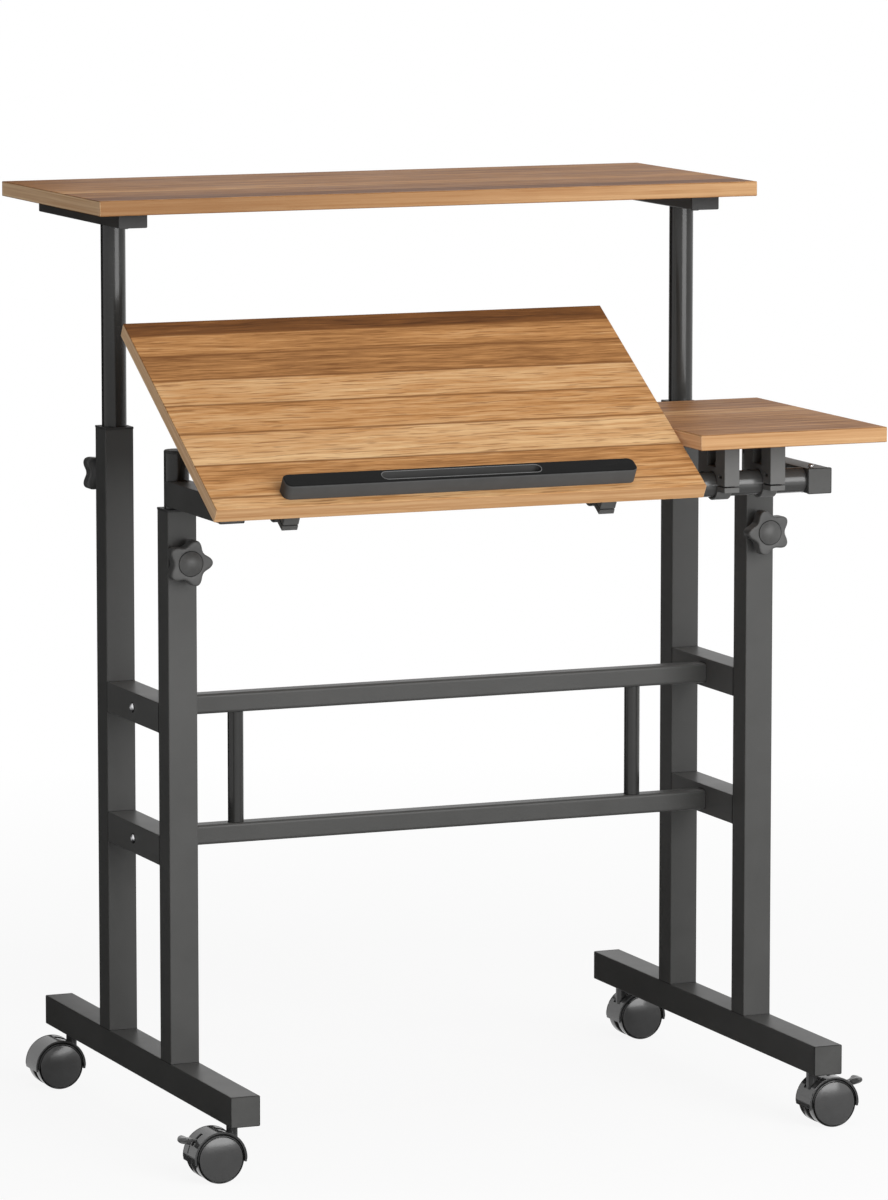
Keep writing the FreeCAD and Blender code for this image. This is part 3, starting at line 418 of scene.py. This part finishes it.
def quadGrid(points, closeU=False, closeV=False):  # quads between neighbours on a (rows, columns, 3) grid
    rows, cols = points.shape[:2]
    i = np.arange(rows if closeU else rows - 1)[:, None]
    j = np.arange(cols if closeV else cols - 1)[None, :]
    here, there = i * cols, (i + 1) % rows * cols
    quads = np.stack([here + j, here + (j + 1) % cols, there + (j + 1) % cols, there + j], -1)
    return points.reshape(-1, 3), quads.reshape(-1, 4)


def stacked(rows):  # closed outlines of one count, each at its own height, joined row by row
    return quadGrid(np.stack([np.column_stack([xy, np.full(len(xy), z)]) for xy, z in rows]), closeV=True)


def arc(cr, ch, radius, start, end, count):  # points of a circle in the profile plane, angles in degrees
    return np.array([cr, ch]) + radius * circle(np.radians(np.linspace(start, end, count)))


def lathe(profile, steps):  # profile turned about Z: x = r cos t, y = r sin t, z = h
    ring = circle(fullTurn(steps))
    return stacked([(r * ring, h) for r, h in profile])


def drum(radius, low, high, steps):  # closed cylinder about Z
    return lathe([(0, low), (radius, low), (radius, high), (0, high)], steps)


def pipe(path, radius, sideCount, closed=False):  # circle carried along a path; radius may vary along it
    path = np.asarray(path, float)
    ahead = np.roll(path, -1, 0) - np.roll(path, 1, 0) if closed else np.gradient(path, axis=0)
    ahead /= np.linalg.norm(ahead, axis=1, keepdims=True)
    guide = np.where(np.abs(ahead[:, 2:]) > 0.9, [[1.0, 0, 0]], [[0, 0, 1.0]])
    side = np.cross(ahead, guide)
    side /= np.linalg.norm(side, axis=1, keepdims=True)
    up = np.cross(side, ahead)
    t = fullTurn(sideCount)
    r = np.broadcast_to(radius, len(path))[:, None, None]
    ring = side[:, None] * np.cos(t)[None, :, None] + up[:, None] * np.sin(t)[None, :, None]
    return quadGrid(path[:, None] + r * ring, closeU=closed, closeV=True)


def moved(shape, origin, xTo=(1, 0, 0), yTo=(0, 1, 0), zTo=(0, 0, 1)):  # local axes laid along three others
    points, quads = shape
    return points @ np.array([xTo, yTo, zTo], float) + np.array(origin, float), quads


meshCare = dict(merge=1e-6, flat=1e-7, sharp=35.0)  # two distances in metres and an angle in degrees


def makePiece(name, shapes, mat, body, stands=()):  # one object from several surfaces, in metres
    counts = np.cumsum([0] + [len(points) for points, _ in shapes])
    points = np.concatenate([points for points, _ in shapes]) / 1000
    quads = np.concatenate([quads + count for (_, quads), count in zip(shapes, counts)])
    mesh = bpy.data.meshes.new(name)
    mesh.from_pydata(points, [], quads)
    work = bmesh.new()
    work.from_mesh(mesh)
    bmesh.ops.remove_doubles(work, verts=work.verts, dist=meshCare["merge"])
    bmesh.ops.dissolve_degenerate(work, edges=work.edges, dist=meshCare["flat"])
    bmesh.ops.recalc_face_normals(work, faces=work.faces)
    work.to_mesh(mesh)
    work.free()
    mesh.shade_smooth()
    mesh.set_sharp_from_angle(angle=math.radians(meshCare["sharp"]))
    piece = bpy.data.objects.new(name, mesh)
    scene.collection.objects.link(piece)
    dress(piece, mat)
    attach(piece, body)
    if stands:
        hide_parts(*stands)
    return piece


def markGroove(piece, origin, axis, radii, heights):  # groove = 1 on points between two radii and two heights
    mesh = piece.data
    points = np.empty(len(mesh.vertices) * 3)
    mesh.vertices.foreach_get("co", points)
    offset = points.reshape(-1, 3) * 1000 - np.array(origin, float)
    height = offset @ np.array(axis, float)
    radius = np.linalg.norm(offset - height[:, None] * np.array(axis, float), axis=1)
    inside = (radius > radii[0]) & (radius < radii[1]) & (height > heights[0]) & (height < heights[1])
    mesh.attributes.new("groove", "FLOAT", "POINT").data.foreach_set("value", inside.astype(np.float32))


# casters
wheelShape = dict(radius=24.0, width=12.0, bore=3.05, boreDepth=8.0, boreEdge=0.4, hub=8.0, dish=5.0,
                  slope=0.6, rimWall=4.0, treadRound=1.1, ringInner=22.5, ringEdge=0.3, groove=0.5,
                  discRadius=22.3, discEdge=0.7, crown=14.6, steps=112, treadSteps=7, discSteps=6,
                  crownSteps=16, dirtRing=(22.2, 23.8), dirtHeight=(8.0, 13.0))
casterPlace = dict(trail=17.5, inset=37.5, wheelStart=5.0)  # wheelStart is half the web and the gap beside it


def wheelProfile(s):  # bore, dished inside, rounded tread, rim ring, groove, crowned disc, axis to axis
    k, r, w = s["treadRound"], s["radius"], s["width"]
    bore, seat = s["bore"], w - s["groove"]
    flat = s["discRadius"] - s["discEdge"]
    rise = s["crown"] - (seat + s["discEdge"])
    ball = (flat ** 2 + rise ** 2) / (2 * rise)
    disc = np.linspace(flat, 0.0, s["crownSteps"])
    crown = np.stack([disc, s["crown"] - ball + np.sqrt(ball ** 2 - disc ** 2)], -1)
    return np.concatenate([
        [(0, s["boreDepth"]), (bore, s["boreDepth"]), (bore, s["boreEdge"]), (bore + s["boreEdge"], 0),
         (s["hub"], 0), (s["hub"] + s["slope"], s["dish"]), (r - s["rimWall"] - s["slope"], s["dish"]),
         (r - s["rimWall"], 0)],
        arc(r - k, k, k, -90, 0, s["treadSteps"]), arc(r - k, w - k, k, 0, 90, s["treadSteps"]),
        [(s["ringInner"] + s["ringEdge"], w), (s["ringInner"], w - s["ringEdge"]), (s["ringInner"], seat),
         (s["discRadius"], seat)],
        arc(flat, seat, s["discEdge"], 0, 90, s["discSteps"]), crown[1:]])


def casterAxle(sideSign, endSign):  # middle of a caster's axle
    y = endSign * (footLength / 2 - casterPlace["inset"]) + baseY
    return np.array([sideSign * (postX + casterPlace["trail"]), y, wheelShape["radius"]])


wheelShell = lathe(wheelProfile(wheelShape), wheelShape["steps"])
for end, endSign in ends:
    for side, sideSign in sides:
        for label, way in (("inner", -endSign), ("outer", endSign)):
            node = f"{end}_{side}_caster_wheel_{label}"
            start = casterAxle(sideSign, endSign) + [0, way * casterPlace["wheelStart"], 0]
            shape = moved(wheelShell, start, (1, 0, 0), (0, 0, -way), (0, way, 0))
            wheel = makePiece(node + ".disc", [shape], casterPlastic, node + "_body",
                              [node])
            # painted shade in the gap between the wheel's disc and its hood
            markGroove(wheel, start, (0, way, 0), wheelShape["dirtRing"], wheelShape["dirtHeight"])
print("wheels turned")

hoodTrim = dict(radius=26.75, half=16.55, bead=0.55, low=-6.5, high=186.5, count=72, taper=2.0, sideCount=10)


def hoodRims(s):  # thin beads along both rims of the hood band, tapered over their last points
    t = np.radians(np.linspace(s["low"], s["high"], s["count"]))
    fromEnd = np.minimum(np.arange(s["count"]), np.arange(s["count"])[::-1])
    swell = s["bead"] * np.clip(fromEnd / s["taper"], 0.0, 1.0)
    rims = [np.stack([s["radius"] * np.cos(t), np.full_like(t, y), s["radius"] * np.sin(t)], -1)
            for y in (-s["half"], s["half"])]
    return [pipe(rim, swell, s["sideCount"]) for rim in rims]


for end, endSign in ends:
    for side, sideSign in sides:
        body = f"{end}_{side}_caster"
        axle = casterAxle(sideSign, endSign)
        shapes = [moved(rim, axle, (sideSign, 0, 0), (0, sideSign, 0)) for rim in hoodRims(hoodTrim)]
        makePiece(body + "_hood.rims", shapes, casterPlastic, body)
print("hood rims laid")

# brake levers; ribStart and ribEnd hold the ribs' distance from root and tip and the length they fade over
leverShape = dict(length=25.0, rise=12.0, pivotRadius=21.0, pivotAngle=50.0, neck=4.6, root=9.0, wide=17.0,
                  thick=3.2, rootAt=11.9, shoulder=0.6, wideAt=18.5, skirt=3.4, curl=2.0, curlRun=6.0,
                  squareness=2.6, ribs=5, ribHeight=0.2, ribSide=0.3, ribStart=(1.0, 3.0), ribEnd=(3.0, 2.0),
                  bodyRows=40, tipRows=24, tipStart=0.06, steps=48, pin=1.5, pinHalf=4.5, pinSteps=20,
                  knuckleSteps=24)


# superellipse section along the lever: it swells from a neck to a ribbed paddle with lifted sides
# and closes round the tip
def leverSurface(s):
    tipLength = s["length"] - s["wideAt"]
    tipRun = tipLength * np.sin(np.linspace(s["tipStart"], np.pi / 2, s["tipRows"]))
    u = np.concatenate([np.linspace(0, s["wideAt"], s["bodyRows"]), s["wideAt"] + tipRun])
    shoulder = [s["rootAt"] - s["shoulder"], s["rootAt"] + s["shoulder"]]
    half = np.interp(u, [0, *shoulder, s["wideAt"]], [s["neck"], s["neck"], s["root"], s["wide"]]) / 2
    tip = np.clip((u - s["wideAt"]) / tipLength, 0, 1)
    half = half * np.sqrt(np.clip(1 - tip ** 2, 0, 1))
    drop = s["skirt"] * np.interp(u, shoulder, [0, 1])
    thick = (s["thick"] + drop) / 2 * np.sqrt(np.clip(1 - tip ** 3, 0, 1))
    v = fullTurn(s["steps"])
    power = 2 / s["squareness"]
    y = np.outer(half, np.sign(np.cos(v)) * np.abs(np.cos(v)) ** power)
    z = np.outer(thick, np.sign(np.sin(v)) * np.abs(np.sin(v)) ** power) - (drop / 2)[:, None]
    (start, run), (stop, fade) = s["ribStart"], s["ribEnd"]
    grip = np.clip((u - s["rootAt"] - start) / run, 0, 1) * np.clip((s["length"] - stop - u) / fade, 0, 1)
    pitch = (s["length"] - s["rootAt"]) / s["ribs"]
    rib = s["ribHeight"] * grip * (0.5 + 0.5 * np.cos(2 * np.pi * (u - s["rootAt"]) / pitch))
    z = z + np.where(np.sin(v)[None, :] > s["ribSide"], rib[:, None], 0.0)
    z = z + s["curl"] * np.clip((u - s["rootAt"]) / s["curlRun"], 0, 1)[:, None] * (2 * y / s["wide"]) ** 2
    points = np.stack([np.repeat(u[:, None], len(v), 1), y, z], -1)
    cap = np.broadcast_to(points[:1].mean(1, keepdims=True), points[:1].shape)
    return quadGrid(np.concatenate([cap, points]), closeV=True)


for side, sideSign in sides:
    s = leverShape
    turn, rise = math.radians(s["pivotAngle"]), math.radians(s["rise"])
    reach = np.array([sideSign * s["pivotRadius"] * math.cos(turn), 0, s["pivotRadius"] * math.sin(turn)])
    pivot = casterAxle(sideSign, -1) + reach
    along = (sideSign * math.cos(rise), 0, math.sin(rise))
    up = (-sideSign * math.sin(rise), 0, math.cos(rise))
    knuckle = drum(s["thick"] / 2, -s["neck"] / 2, s["neck"] / 2, s["knuckleSteps"])
    pin = drum(s["pin"], -s["pinHalf"], s["pinHalf"], s["pinSteps"])
    shapes = [moved(leverSurface(s), pivot, along, (0, 1, 0), up)]
    shapes += [moved(shape, pivot, (1, 0, 0), (0, 0, -1), (0, 1, 0)) for shape in (knuckle, pin)]
    body = f"front_{side}_caster_brake"
    makePiece(body + "_lever.paddle", shapes, casterPlastic, body, [body + "_lever"])
print("brake levers shaped")

# clamp knobs; flare and seat hold radius and height; seat and the painted shade ring count from the cap's
# radius and the front
knobShape = dict(lobes=5, tip=23.4, dip=16.9, sharpness=1.15, neckRadius=8.5, neckEdge=0.5, neck=8.0,
                 thick=14.6, edge=1.7, flare=((9.3, 3.0), (11.0, 6.2), (13.2, 7.8)), capRadius=12.2,
                 capRise=4.0, capLip=0.5, capGap=0.15, capSink=0.55,
                 seat=((0.9, 0.0), (0.6, -0.05), (0.35, -0.5), (-0.15, -0.6)), stud=4.0, studReach=3.4,
                 studRoot=0.2, steps=160, edgeSteps=7, lipTurn=80.0, lipSteps=5, domeSteps=14, capSteps=72,
                 studSteps=32, clear=1.7, height=dict(front=590.5, rear=653.0),
                 dirtRing=(-0.2, 0.4), dirtHeight=(-0.7, -0.1))


def starOutline(s, inset):  # r = dip + (tip - dip) * ((1 + cos 5t) / 2)^p, moved in along its normal
    t = fullTurn(s["steps"])
    r = s["dip"] + (s["tip"] - s["dip"]) * ((1 + np.cos(s["lobes"] * t)) / 2) ** s["sharpness"]
    xy = -r[:, None] * circle(t)
    run = np.roll(xy, -1, 0) - np.roll(xy, 1, 0)
    run /= np.linalg.norm(run, axis=1, keepdims=True)
    return xy - inset * np.stack([run[:, 1], -run[:, 0]], -1)


def knobBody(s):  # rings from the neck up: circles, then star outlines with rounded edges, then the seat
    ring = -circle(fullTurn(s["steps"]))
    back, front, e = s["neck"], s["neck"] + s["thick"], s["edge"]
    neck = ((0.0, 0.0), (s["neckRadius"] - s["neckEdge"], 0.0), (s["neckRadius"], s["neckEdge"]), *s["flare"])
    rows = [(ring * r, z) for r, z in neck]
    for a in np.radians(np.linspace(-90, 0, s["edgeSteps"])):
        rows.append((starOutline(s, e * (1 - math.cos(a))), back + e * (1 + math.sin(a))))
    for a in np.radians(np.linspace(0, 90, s["edgeSteps"])):
        rows.append((starOutline(s, e * (1 - math.cos(a))), front - e * (1 - math.sin(a))))
    rows += [(ring * (s["capRadius"] + r), front + z) for r, z in s["seat"]]
    return stacked(rows + [(ring * 0.0, front + s["seat"][-1][1])])


def knobCap(s):  # low dome with a rounded lip, sunk a little in its seat
    front = s["neck"] + s["thick"]
    rim, lip = s["capRadius"] - s["capGap"], s["capLip"]
    floorAt, dome = front - s["capSink"], s["capRise"] - lip
    ball = ((rim - lip) ** 2 + dome ** 2) / (2 * dome)
    r = np.linspace(rim - lip, 0, s["domeSteps"])
    cover = np.stack([r, front + s["capRise"] - ball + np.sqrt(ball ** 2 - r ** 2)], -1)
    under = [(0, floorAt), (rim, floorAt)]
    edge = arc(rim - lip, front, lip, 0, s["lipTurn"], s["lipSteps"])
    return lathe(np.concatenate([under, edge, cover]), s["capSteps"])


for side, sideSign in sides:
    for end, endSign in ends:
        s = knobShape
        front = s["neck"] + s["thick"]
        y = endSign * (postY + postSide / 2 + s["clear"]) + baseY
        origin = (sideSign * postX, y, s["height"][end])
        axes = ((sideSign, 0, 0), (0, 0, -sideSign * endSign), (0, endSign, 0))
        stud = drum(s["stud"], -s["studReach"], s["studRoot"], s["studSteps"])
        shapes = [moved(shape, origin, *axes) for shape in (knobBody(s), knobCap(s), stud)]
        node = f"{side}_{end}_knob"
        knob = makePiece(node + ".star", shapes, knobPlastic, f"{end}_{side}_clamp", [node])
        # painted shade in the gap round the knob's cap
        markGroove(knob, origin, axes[2], [s["capRadius"] + r for r in s["dirtRing"]],
                   [front + z for z in s["dirtHeight"]])
print("knobs shaped")

# bolts; a head gives its radius and its socket's
boltShape = dict(rim=0.8, rise=2.6, edge=0.5, brim=0.15, domeEnd=1.3, domeRings=9, lipWide=1.06, lipAt=1.15,
                 lipDrop=0.12, socketDepth=1.3, steps=48, barHead=(4.2, 1.9), armHead=(3.0, 1.4), armBack=5.0)


def boltHead(s, radius, socket):  # rings from the seat up over a low dome, then down a six-sided socket
    t = fullTurn(s["steps"])
    ring = circle(t)
    hexagon = ring * (socket / np.cos((t + np.pi / 6) % (np.pi / 3) - np.pi / 6))[:, None]
    dome = s["rise"] - s["rim"]
    ball = (radius ** 2 + dome ** 2) / (2 * dome)
    bottom = s["rise"] - s["socketDepth"]

    def domeAt(r):
        return s["rise"] - ball + np.sqrt(ball ** 2 - r ** 2)

    rows = [(ring * 0.0, 0.0), (ring * radius, 0.0), (ring * radius, s["rim"] - s["edge"] / 2)]
    domeRadii = np.linspace(radius - s["brim"], socket * s["domeEnd"], s["domeRings"])
    rows += [(ring * r, domeAt(r)) for r in domeRadii]
    rows += [(hexagon * s["lipWide"], domeAt(socket * s["lipAt"])), (hexagon, domeAt(socket) - s["lipDrop"]),
             (hexagon, bottom)]
    return stacked(rows + [(ring * 0.0, bottom)])


barHead, armHead = boltHead(boltShape, *boltShape["barHead"]), boltHead(boltShape, *boltShape["armHead"])
shapes = [moved(barHead, (out * (postX + postSide / 2), baseY, z), (0, 1, 0), (0, 0, out), (out, 0, 0))
          for out in (-1, 1) for z in rungHeights]
makePiece("crossbar_bolts.heads", shapes, brightBolt, "base", ["crossbar_bolts"])
shapes = [moved(armHead, (out * postX, pivotY + boltShape["armBack"], pivotZ + armSide / 2))
          for out in (-1, 1)]
makePiece("arm_bolts.heads", shapes, brightBolt, "desk_frame", ["arm_bolts"])

# joint lines: near-black beads that paint shade along the seams, where joints, cap edges and bolt rims fall
# dark
lineLook = dict(radius=0.3, sideCount=8, corner=1.0, barCorner=3.0, boltRing=4.7, boltRadius=0.6,
                footSide=29.6, capPlaces=(13.0, 16.0), cornerSteps=6, ringSteps=48)
# near-black coat of the seam beads and slot sheets: painted shade
paintedShadeInk = coated("paintedShadeLine", mouldLook, dark=grey(0.006), light=grey(0.012), cloud=40.0, rough=(0.60, 0.75),
                  edgeRadius=0.0002, edgeAmount=0.0, edgeColour=grey(0.03), grain=900.0, bump=0.2,
                  scuffScale=60.0, scuffAmount=0.0, specular=0.2)


def squareLine(side, corner=lineLook["corner"]):  # rounded square in XY: one corner, turned three times
    c = side / 2 - corner
    t = np.radians(np.linspace(0, 90, lineLook["cornerSteps"]))
    turns = [np.stack([c + corner * np.cos(t), c + corner * np.sin(t), 0 * t], -1)]
    for _ in range(3):
        x, y, z = turns[-1].T
        turns.append(np.stack([-y, x, z], -1))
    return np.concatenate(turns)


def roundLine(radius):  # circle in the XY plane
    ring = circle(fullTurn(lineLook["ringSteps"]))
    return np.column_stack([radius * ring, np.zeros(len(ring))])


def seam(line, radius=lineLook["radius"]):  # thin bead along a closed line
    return pipe(line, radius, lineLook["sideCount"], True)


postSeam, barSeam = seam(squareLine(postSide)), seam(squareLine(barSide, lineLook["barCorner"]))
boltSeam = seam(roundLine(lineLook["boltRing"]), lineLook["boltRadius"])
rodSeam, footSeam = seam(roundLine(spindleRadius)), seam(squareLine(lineLook["footSide"]))
shapes = []
for out in (-1, 1):
    for endSign in (-1, 1):
        shapes.append(moved(postSeam, (out * postX, endSign * postY + baseY, footTop)))
        inner = endSign * (postY - postSide / 2) + baseY
        shapes += [moved(postSeam, (out * postX, inner, z), *facingY) for z in rungHeights]
    for z in rungHeights:
        shapes.append(moved(boltSeam, (out * (postX + postSide / 2), baseY, z), *facingX))
        shapes.append(moved(barSeam, (out * (postX - postSide / 2), baseY, z), *facingX))
    for z in (rungHeights[0] + barSide / 2, rungHeights[1] - barSide / 2):
        shapes.append(moved(rodSeam, (out * spindleX, baseY, z)))
    for endSign in (-1, 1):
        shapes.append(moved(footSeam, (out * postX, endSign * footLength / 2 + baseY, footMiddle), *facingY))
makePiece("base.joint_lines", shapes, paintedShadeInk, "base")
armSeam, capSeam = seam(roundLine(armSide / 2)), seam(squareLine(armSide))
shapes = [moved(armSeam, (out * (postX - armSide / 2), pivotY, pivotZ), *facingX) for out in (-1, 1)]
shapes += [moved(capSeam, (out * postX, pivotY - y, pivotZ), *facingY)
           for out in (-1, 1) for y in lineLook["capPlaces"]]
makePiece("arms.joint_lines", shapes, paintedShadeInk, "desk_frame")

# dark sheets in the slots of the board clamps: painted shade where the deep slots fall dark
slotShadeShape = dict(inner=5.5, thick=0.3, slot=9.9, low=18.3, high=42.8, sideX=(209.0, 259.0),
                   tiltX=(-256.5, 76.5))


def slab(low, high):  # closed box as four rings: middle, floor outline, top outline, middle
    (x0, y0, z0), (x1, y1, z1) = low, high
    ring = np.array([[x0, y0], [x1, y0], [x1, y1], [x0, y1]], float)
    middle = ring * 0 + ring.mean(0)
    return stacked([(middle, z0), (ring, z0), (ring, z1), (middle, z1)])


s = slotShadeShape
slotShade = slab((s["inner"] - s["thick"], -s["slot"], s["low"]), (s["inner"], s["slot"], s["high"]))
shapes = [moved(slotShade, (x, pivotY, pivotZ)) for x in s["sideX"]]
makePiece("side_clamp_blocks.slot_shade", shapes, paintedShadeInk, "desk_frame")
shapes = [moved(slotShade, (x, pivotY, pivotZ), *onTilt) for x in s["tiltX"]]
makePiece("tilt_clamp_blocks.slot_shade", shapes, paintedShadeInk, "writing_board")

lipLook = dict(length=166.0, width=12.0, round=5.95, bead=0.45, sideCount=8, middleX=-102.5, along=-54.5,
               up=73.9, cornerSteps=10)
# lighter plastic of the groove's rim bead: a painted highlight
lipHighlightPlastic = coated("lipHighlightPlastic", mouldLook, dark=(0.10, 0.10, 0.099), light=(0.13, 0.13, 0.128),
                    rough=(0.34, 0.44), edgeRadius=0.0003, edgeAmount=0.2, edgeColour=grey(0.2), bump=0.1,
                    specular=0.3)


def grooveLip(s):  # bead along the rounded outline of the pen groove, laid in the top of the ledge, in a lighter plastic as a painted highlight on the rim
    cx, cy, r = s["length"] / 2 - s["round"], s["width"] / 2 - s["round"], s["round"]
    quarter = r * circle(np.radians(np.linspace(0, 90, s["cornerSteps"])))
    turned = [quarter, quarter[::-1] * [-1, 1], -quarter, quarter[::-1] * [1, -1]]
    corner = np.array([[cx, cy], [-cx, cy], [-cx, -cy], [cx, -cy]])
    flat = np.concatenate([q + c for q, c in zip(turned, corner)])
    return pipe(np.column_stack([flat, np.zeros(len(flat))]), s["bead"], s["sideCount"], True)


seat = tiltPlace(lipLook["middleX"], lipLook["along"], lipLook["up"])
makePiece("ledge.groove_lip", [moved(grooveLip(lipLook), seat, *onTilt)], lipHighlightPlastic,
          "writing_board")
print("bolts, joint lines and groove lip laid")

# camera, floor and light, in metres; the focal length is in pixels of the frame's height
view = dict(place=(-2.48533, -5.98175, 1.41685), turn=22.6, drop=7.855, focal=6460.0, frameHeight=1200.0,
            sensor=36.0, clip=(0.1, 200.0))
cam = bpy.data.cameras.new("deskCamera")
cam.sensor_width = view["sensor"]
cam.lens = view["focal"] / view["frameHeight"] * view["sensor"]
cam.clip_start, cam.clip_end = view["clip"]
camera = bpy.data.objects.new("deskCamera", cam)
camera.location = view["place"]
camera.rotation_euler = (math.radians(90.0 - view["drop"]), 0.0, -math.radians(view["turn"]))
scene.collection.objects.link(camera)
scene.camera = camera


def shownToEye(tree):  # 1 for camera rays, reflections and glass, which all show the same background
    path = put(tree, "LightPath").outputs
    mirrored = calc(tree, "MAXIMUM", path["Is Glossy Ray"], path["Is Transmission Ray"])
    return calc(tree, "MAXIMUM", path["Is Camera Ray"], mirrored)


floorLook = dict(half=30.0, near=0.9, far=2.2, nearShare=0.90, tone=grey(0.86), light=grey(0.88),
                 cloud=(3.0, 4.0), cloudSpan=(0.3, 0.7))


def floorMaterial(s):  # pale floor that keeps the shadow near the desk and runs to plain white further out
    mat, tree = blankMaterial("paleFloor")
    where = put(tree, "TexCoord").outputs["Object"]
    flat = put(tree, "VectorMath", {0: where, 1: (1.0, 1.0, 0.0)}, operation="MULTIPLY").outputs[0]
    away = put(tree, "VectorMath", {0: flat}, operation="LENGTH").outputs["Value"]
    cloud = remap(tree, noise(tree, where, *s["cloud"]), *s["cloudSpan"])
    tone = tint(tree, cloud, s["tone"], s["light"])
    matt = put(tree, "BsdfDiffuse", {"Color": tone}).outputs[0]
    white = put(tree, "Emission", {"Color": grey(1.0), "Strength": 1.0}).outputs[0]
    share = remap(tree, away, s["near"], s["far"], s["nearShare"], 1.0)
    share = calc(tree, "MULTIPLY", share, shownToEye(tree))
    closeMaterial(tree, put(tree, "MixShader", {0: share, 1: matt, 2: white}))
    return mat


def sheet(name, cards, mat):  # stage object of separate four-cornered cards
    mesh = bpy.data.meshes.new(name)
    mesh.from_pydata(np.reshape(cards, (-1, 3)), [], np.arange(4 * len(cards)).reshape(-1, 4))
    obj = bpy.data.objects.new(name, mesh)
    scene.collection.objects.link(obj)
    dress(obj, mat)
    return obj


def lying(xSpan, ySpan, z):  # corners of a level card that faces up
    (x0, x1), (y0, y1) = xSpan, ySpan
    return [[x0, y0, z], [x1, y0, z], [x1, y1, z], [x0, y1, z]]


wholeFloor = (-floorLook["half"], floorLook["half"])
floor = sheet("floor", [lying(wholeFloor, wholeFloor, 0.0)], floorMaterial(floorLook))

keyLight = dict(place=(0.75, -3.5, 1.6), aim=(0.0, 0.0, 0.60), size=2.8, power=136.0)
topLight = dict(place=(0.2, -0.4, 3.4), aim=(0.0, 0.0, 0.4), size=2.4, power=27.0)
skyFill = 0.24


def softbox(name, s):  # square lamp that faces its aim
    lamp = bpy.data.lights.new(name, "AREA")
    lamp.shape, lamp.size, lamp.energy = "SQUARE", s["size"], s["power"]
    obj = bpy.data.objects.new(name, lamp)
    obj.location = s["place"]
    obj.rotation_euler = (Vector(s["aim"]) - Vector(s["place"])).to_track_quat("-Z", "Y").to_euler()
    scene.collection.objects.link(obj)


softbox("keyLight", keyLight)
softbox("topLight", topLight)

# dark cards: one standing behind, one lying left of each foot, three on the floor before the wheels
cardPlan = dict(back=1.35, span=(-1.9, 0.05), low=0.056, top=1.7, front=-0.30,
                footSpans=((-1.5, -0.328), (-0.20, 0.297)), wheelRise=0.002,
                wheelSpans=(((-0.42, 1.30), (-1.20, -0.236)), ((-0.42, -0.02), (-0.20, 0.240)),
                            ((0.25, 0.80), (-0.20, 0.240))))
clothLook = dict(weave=(300.0, 2.0), black=(grey(0.010), grey(0.016)), white=(grey(0.97), grey(1.0)))


def clothMaterial(s):  # matt black cloth with a back that glows plain white
    mat, tree = blankMaterial("blackCloth")
    weave = noise(tree, put(tree, "TexCoord").outputs["Object"], *s["weave"])
    cloth = put(tree, "BsdfDiffuse", {"Color": tint(tree, weave, *s["black"])}).outputs[0]
    glowingBack = put(tree, "Emission", {"Color": tint(tree, weave, *s["white"])}).outputs[0]
    behind = put(tree, "NewGeometry").outputs["Backfacing"]
    closeMaterial(tree, put(tree, "MixShader", {0: behind, 1: cloth, 2: glowingBack}))
    return mat


def blackCards(s):  # only reflections meet them
    (x0, x1), y = s["span"], s["back"]
    cards = [[[x0, y, s["low"]], [x1, y, s["low"]], [x1, y, s["top"]], [x0, y, s["top"]]]]
    cards += [lying(xSpan, (s["front"], s["back"]), s["low"]) for xSpan in s["footSpans"]]
    cards += [lying(xSpan, ySpan, s["wheelRise"]) for xSpan, ySpan in s["wheelSpans"]]
    card = sheet("blackFlag", cards, clothMaterial(clothLook))
    card.visible_camera = card.visible_shadow = card.visible_diffuse = False


blackCards(cardPlan)
world = bpy.data.worlds.new("studio")
world.use_nodes = True
sky = world.node_tree
sky.nodes.clear()
strength = remap(sky, shownToEye(sky), 0.0, 1.0, skyFill, 1.0)
background = put(sky, "Background", {"Color": grey(1.0), "Strength": strength})
put(sky, "OutputWorld", {"Surface": background.outputs[0]})
scene.world = world
scene.view_settings.view_transform = "Standard"
print("stage set")
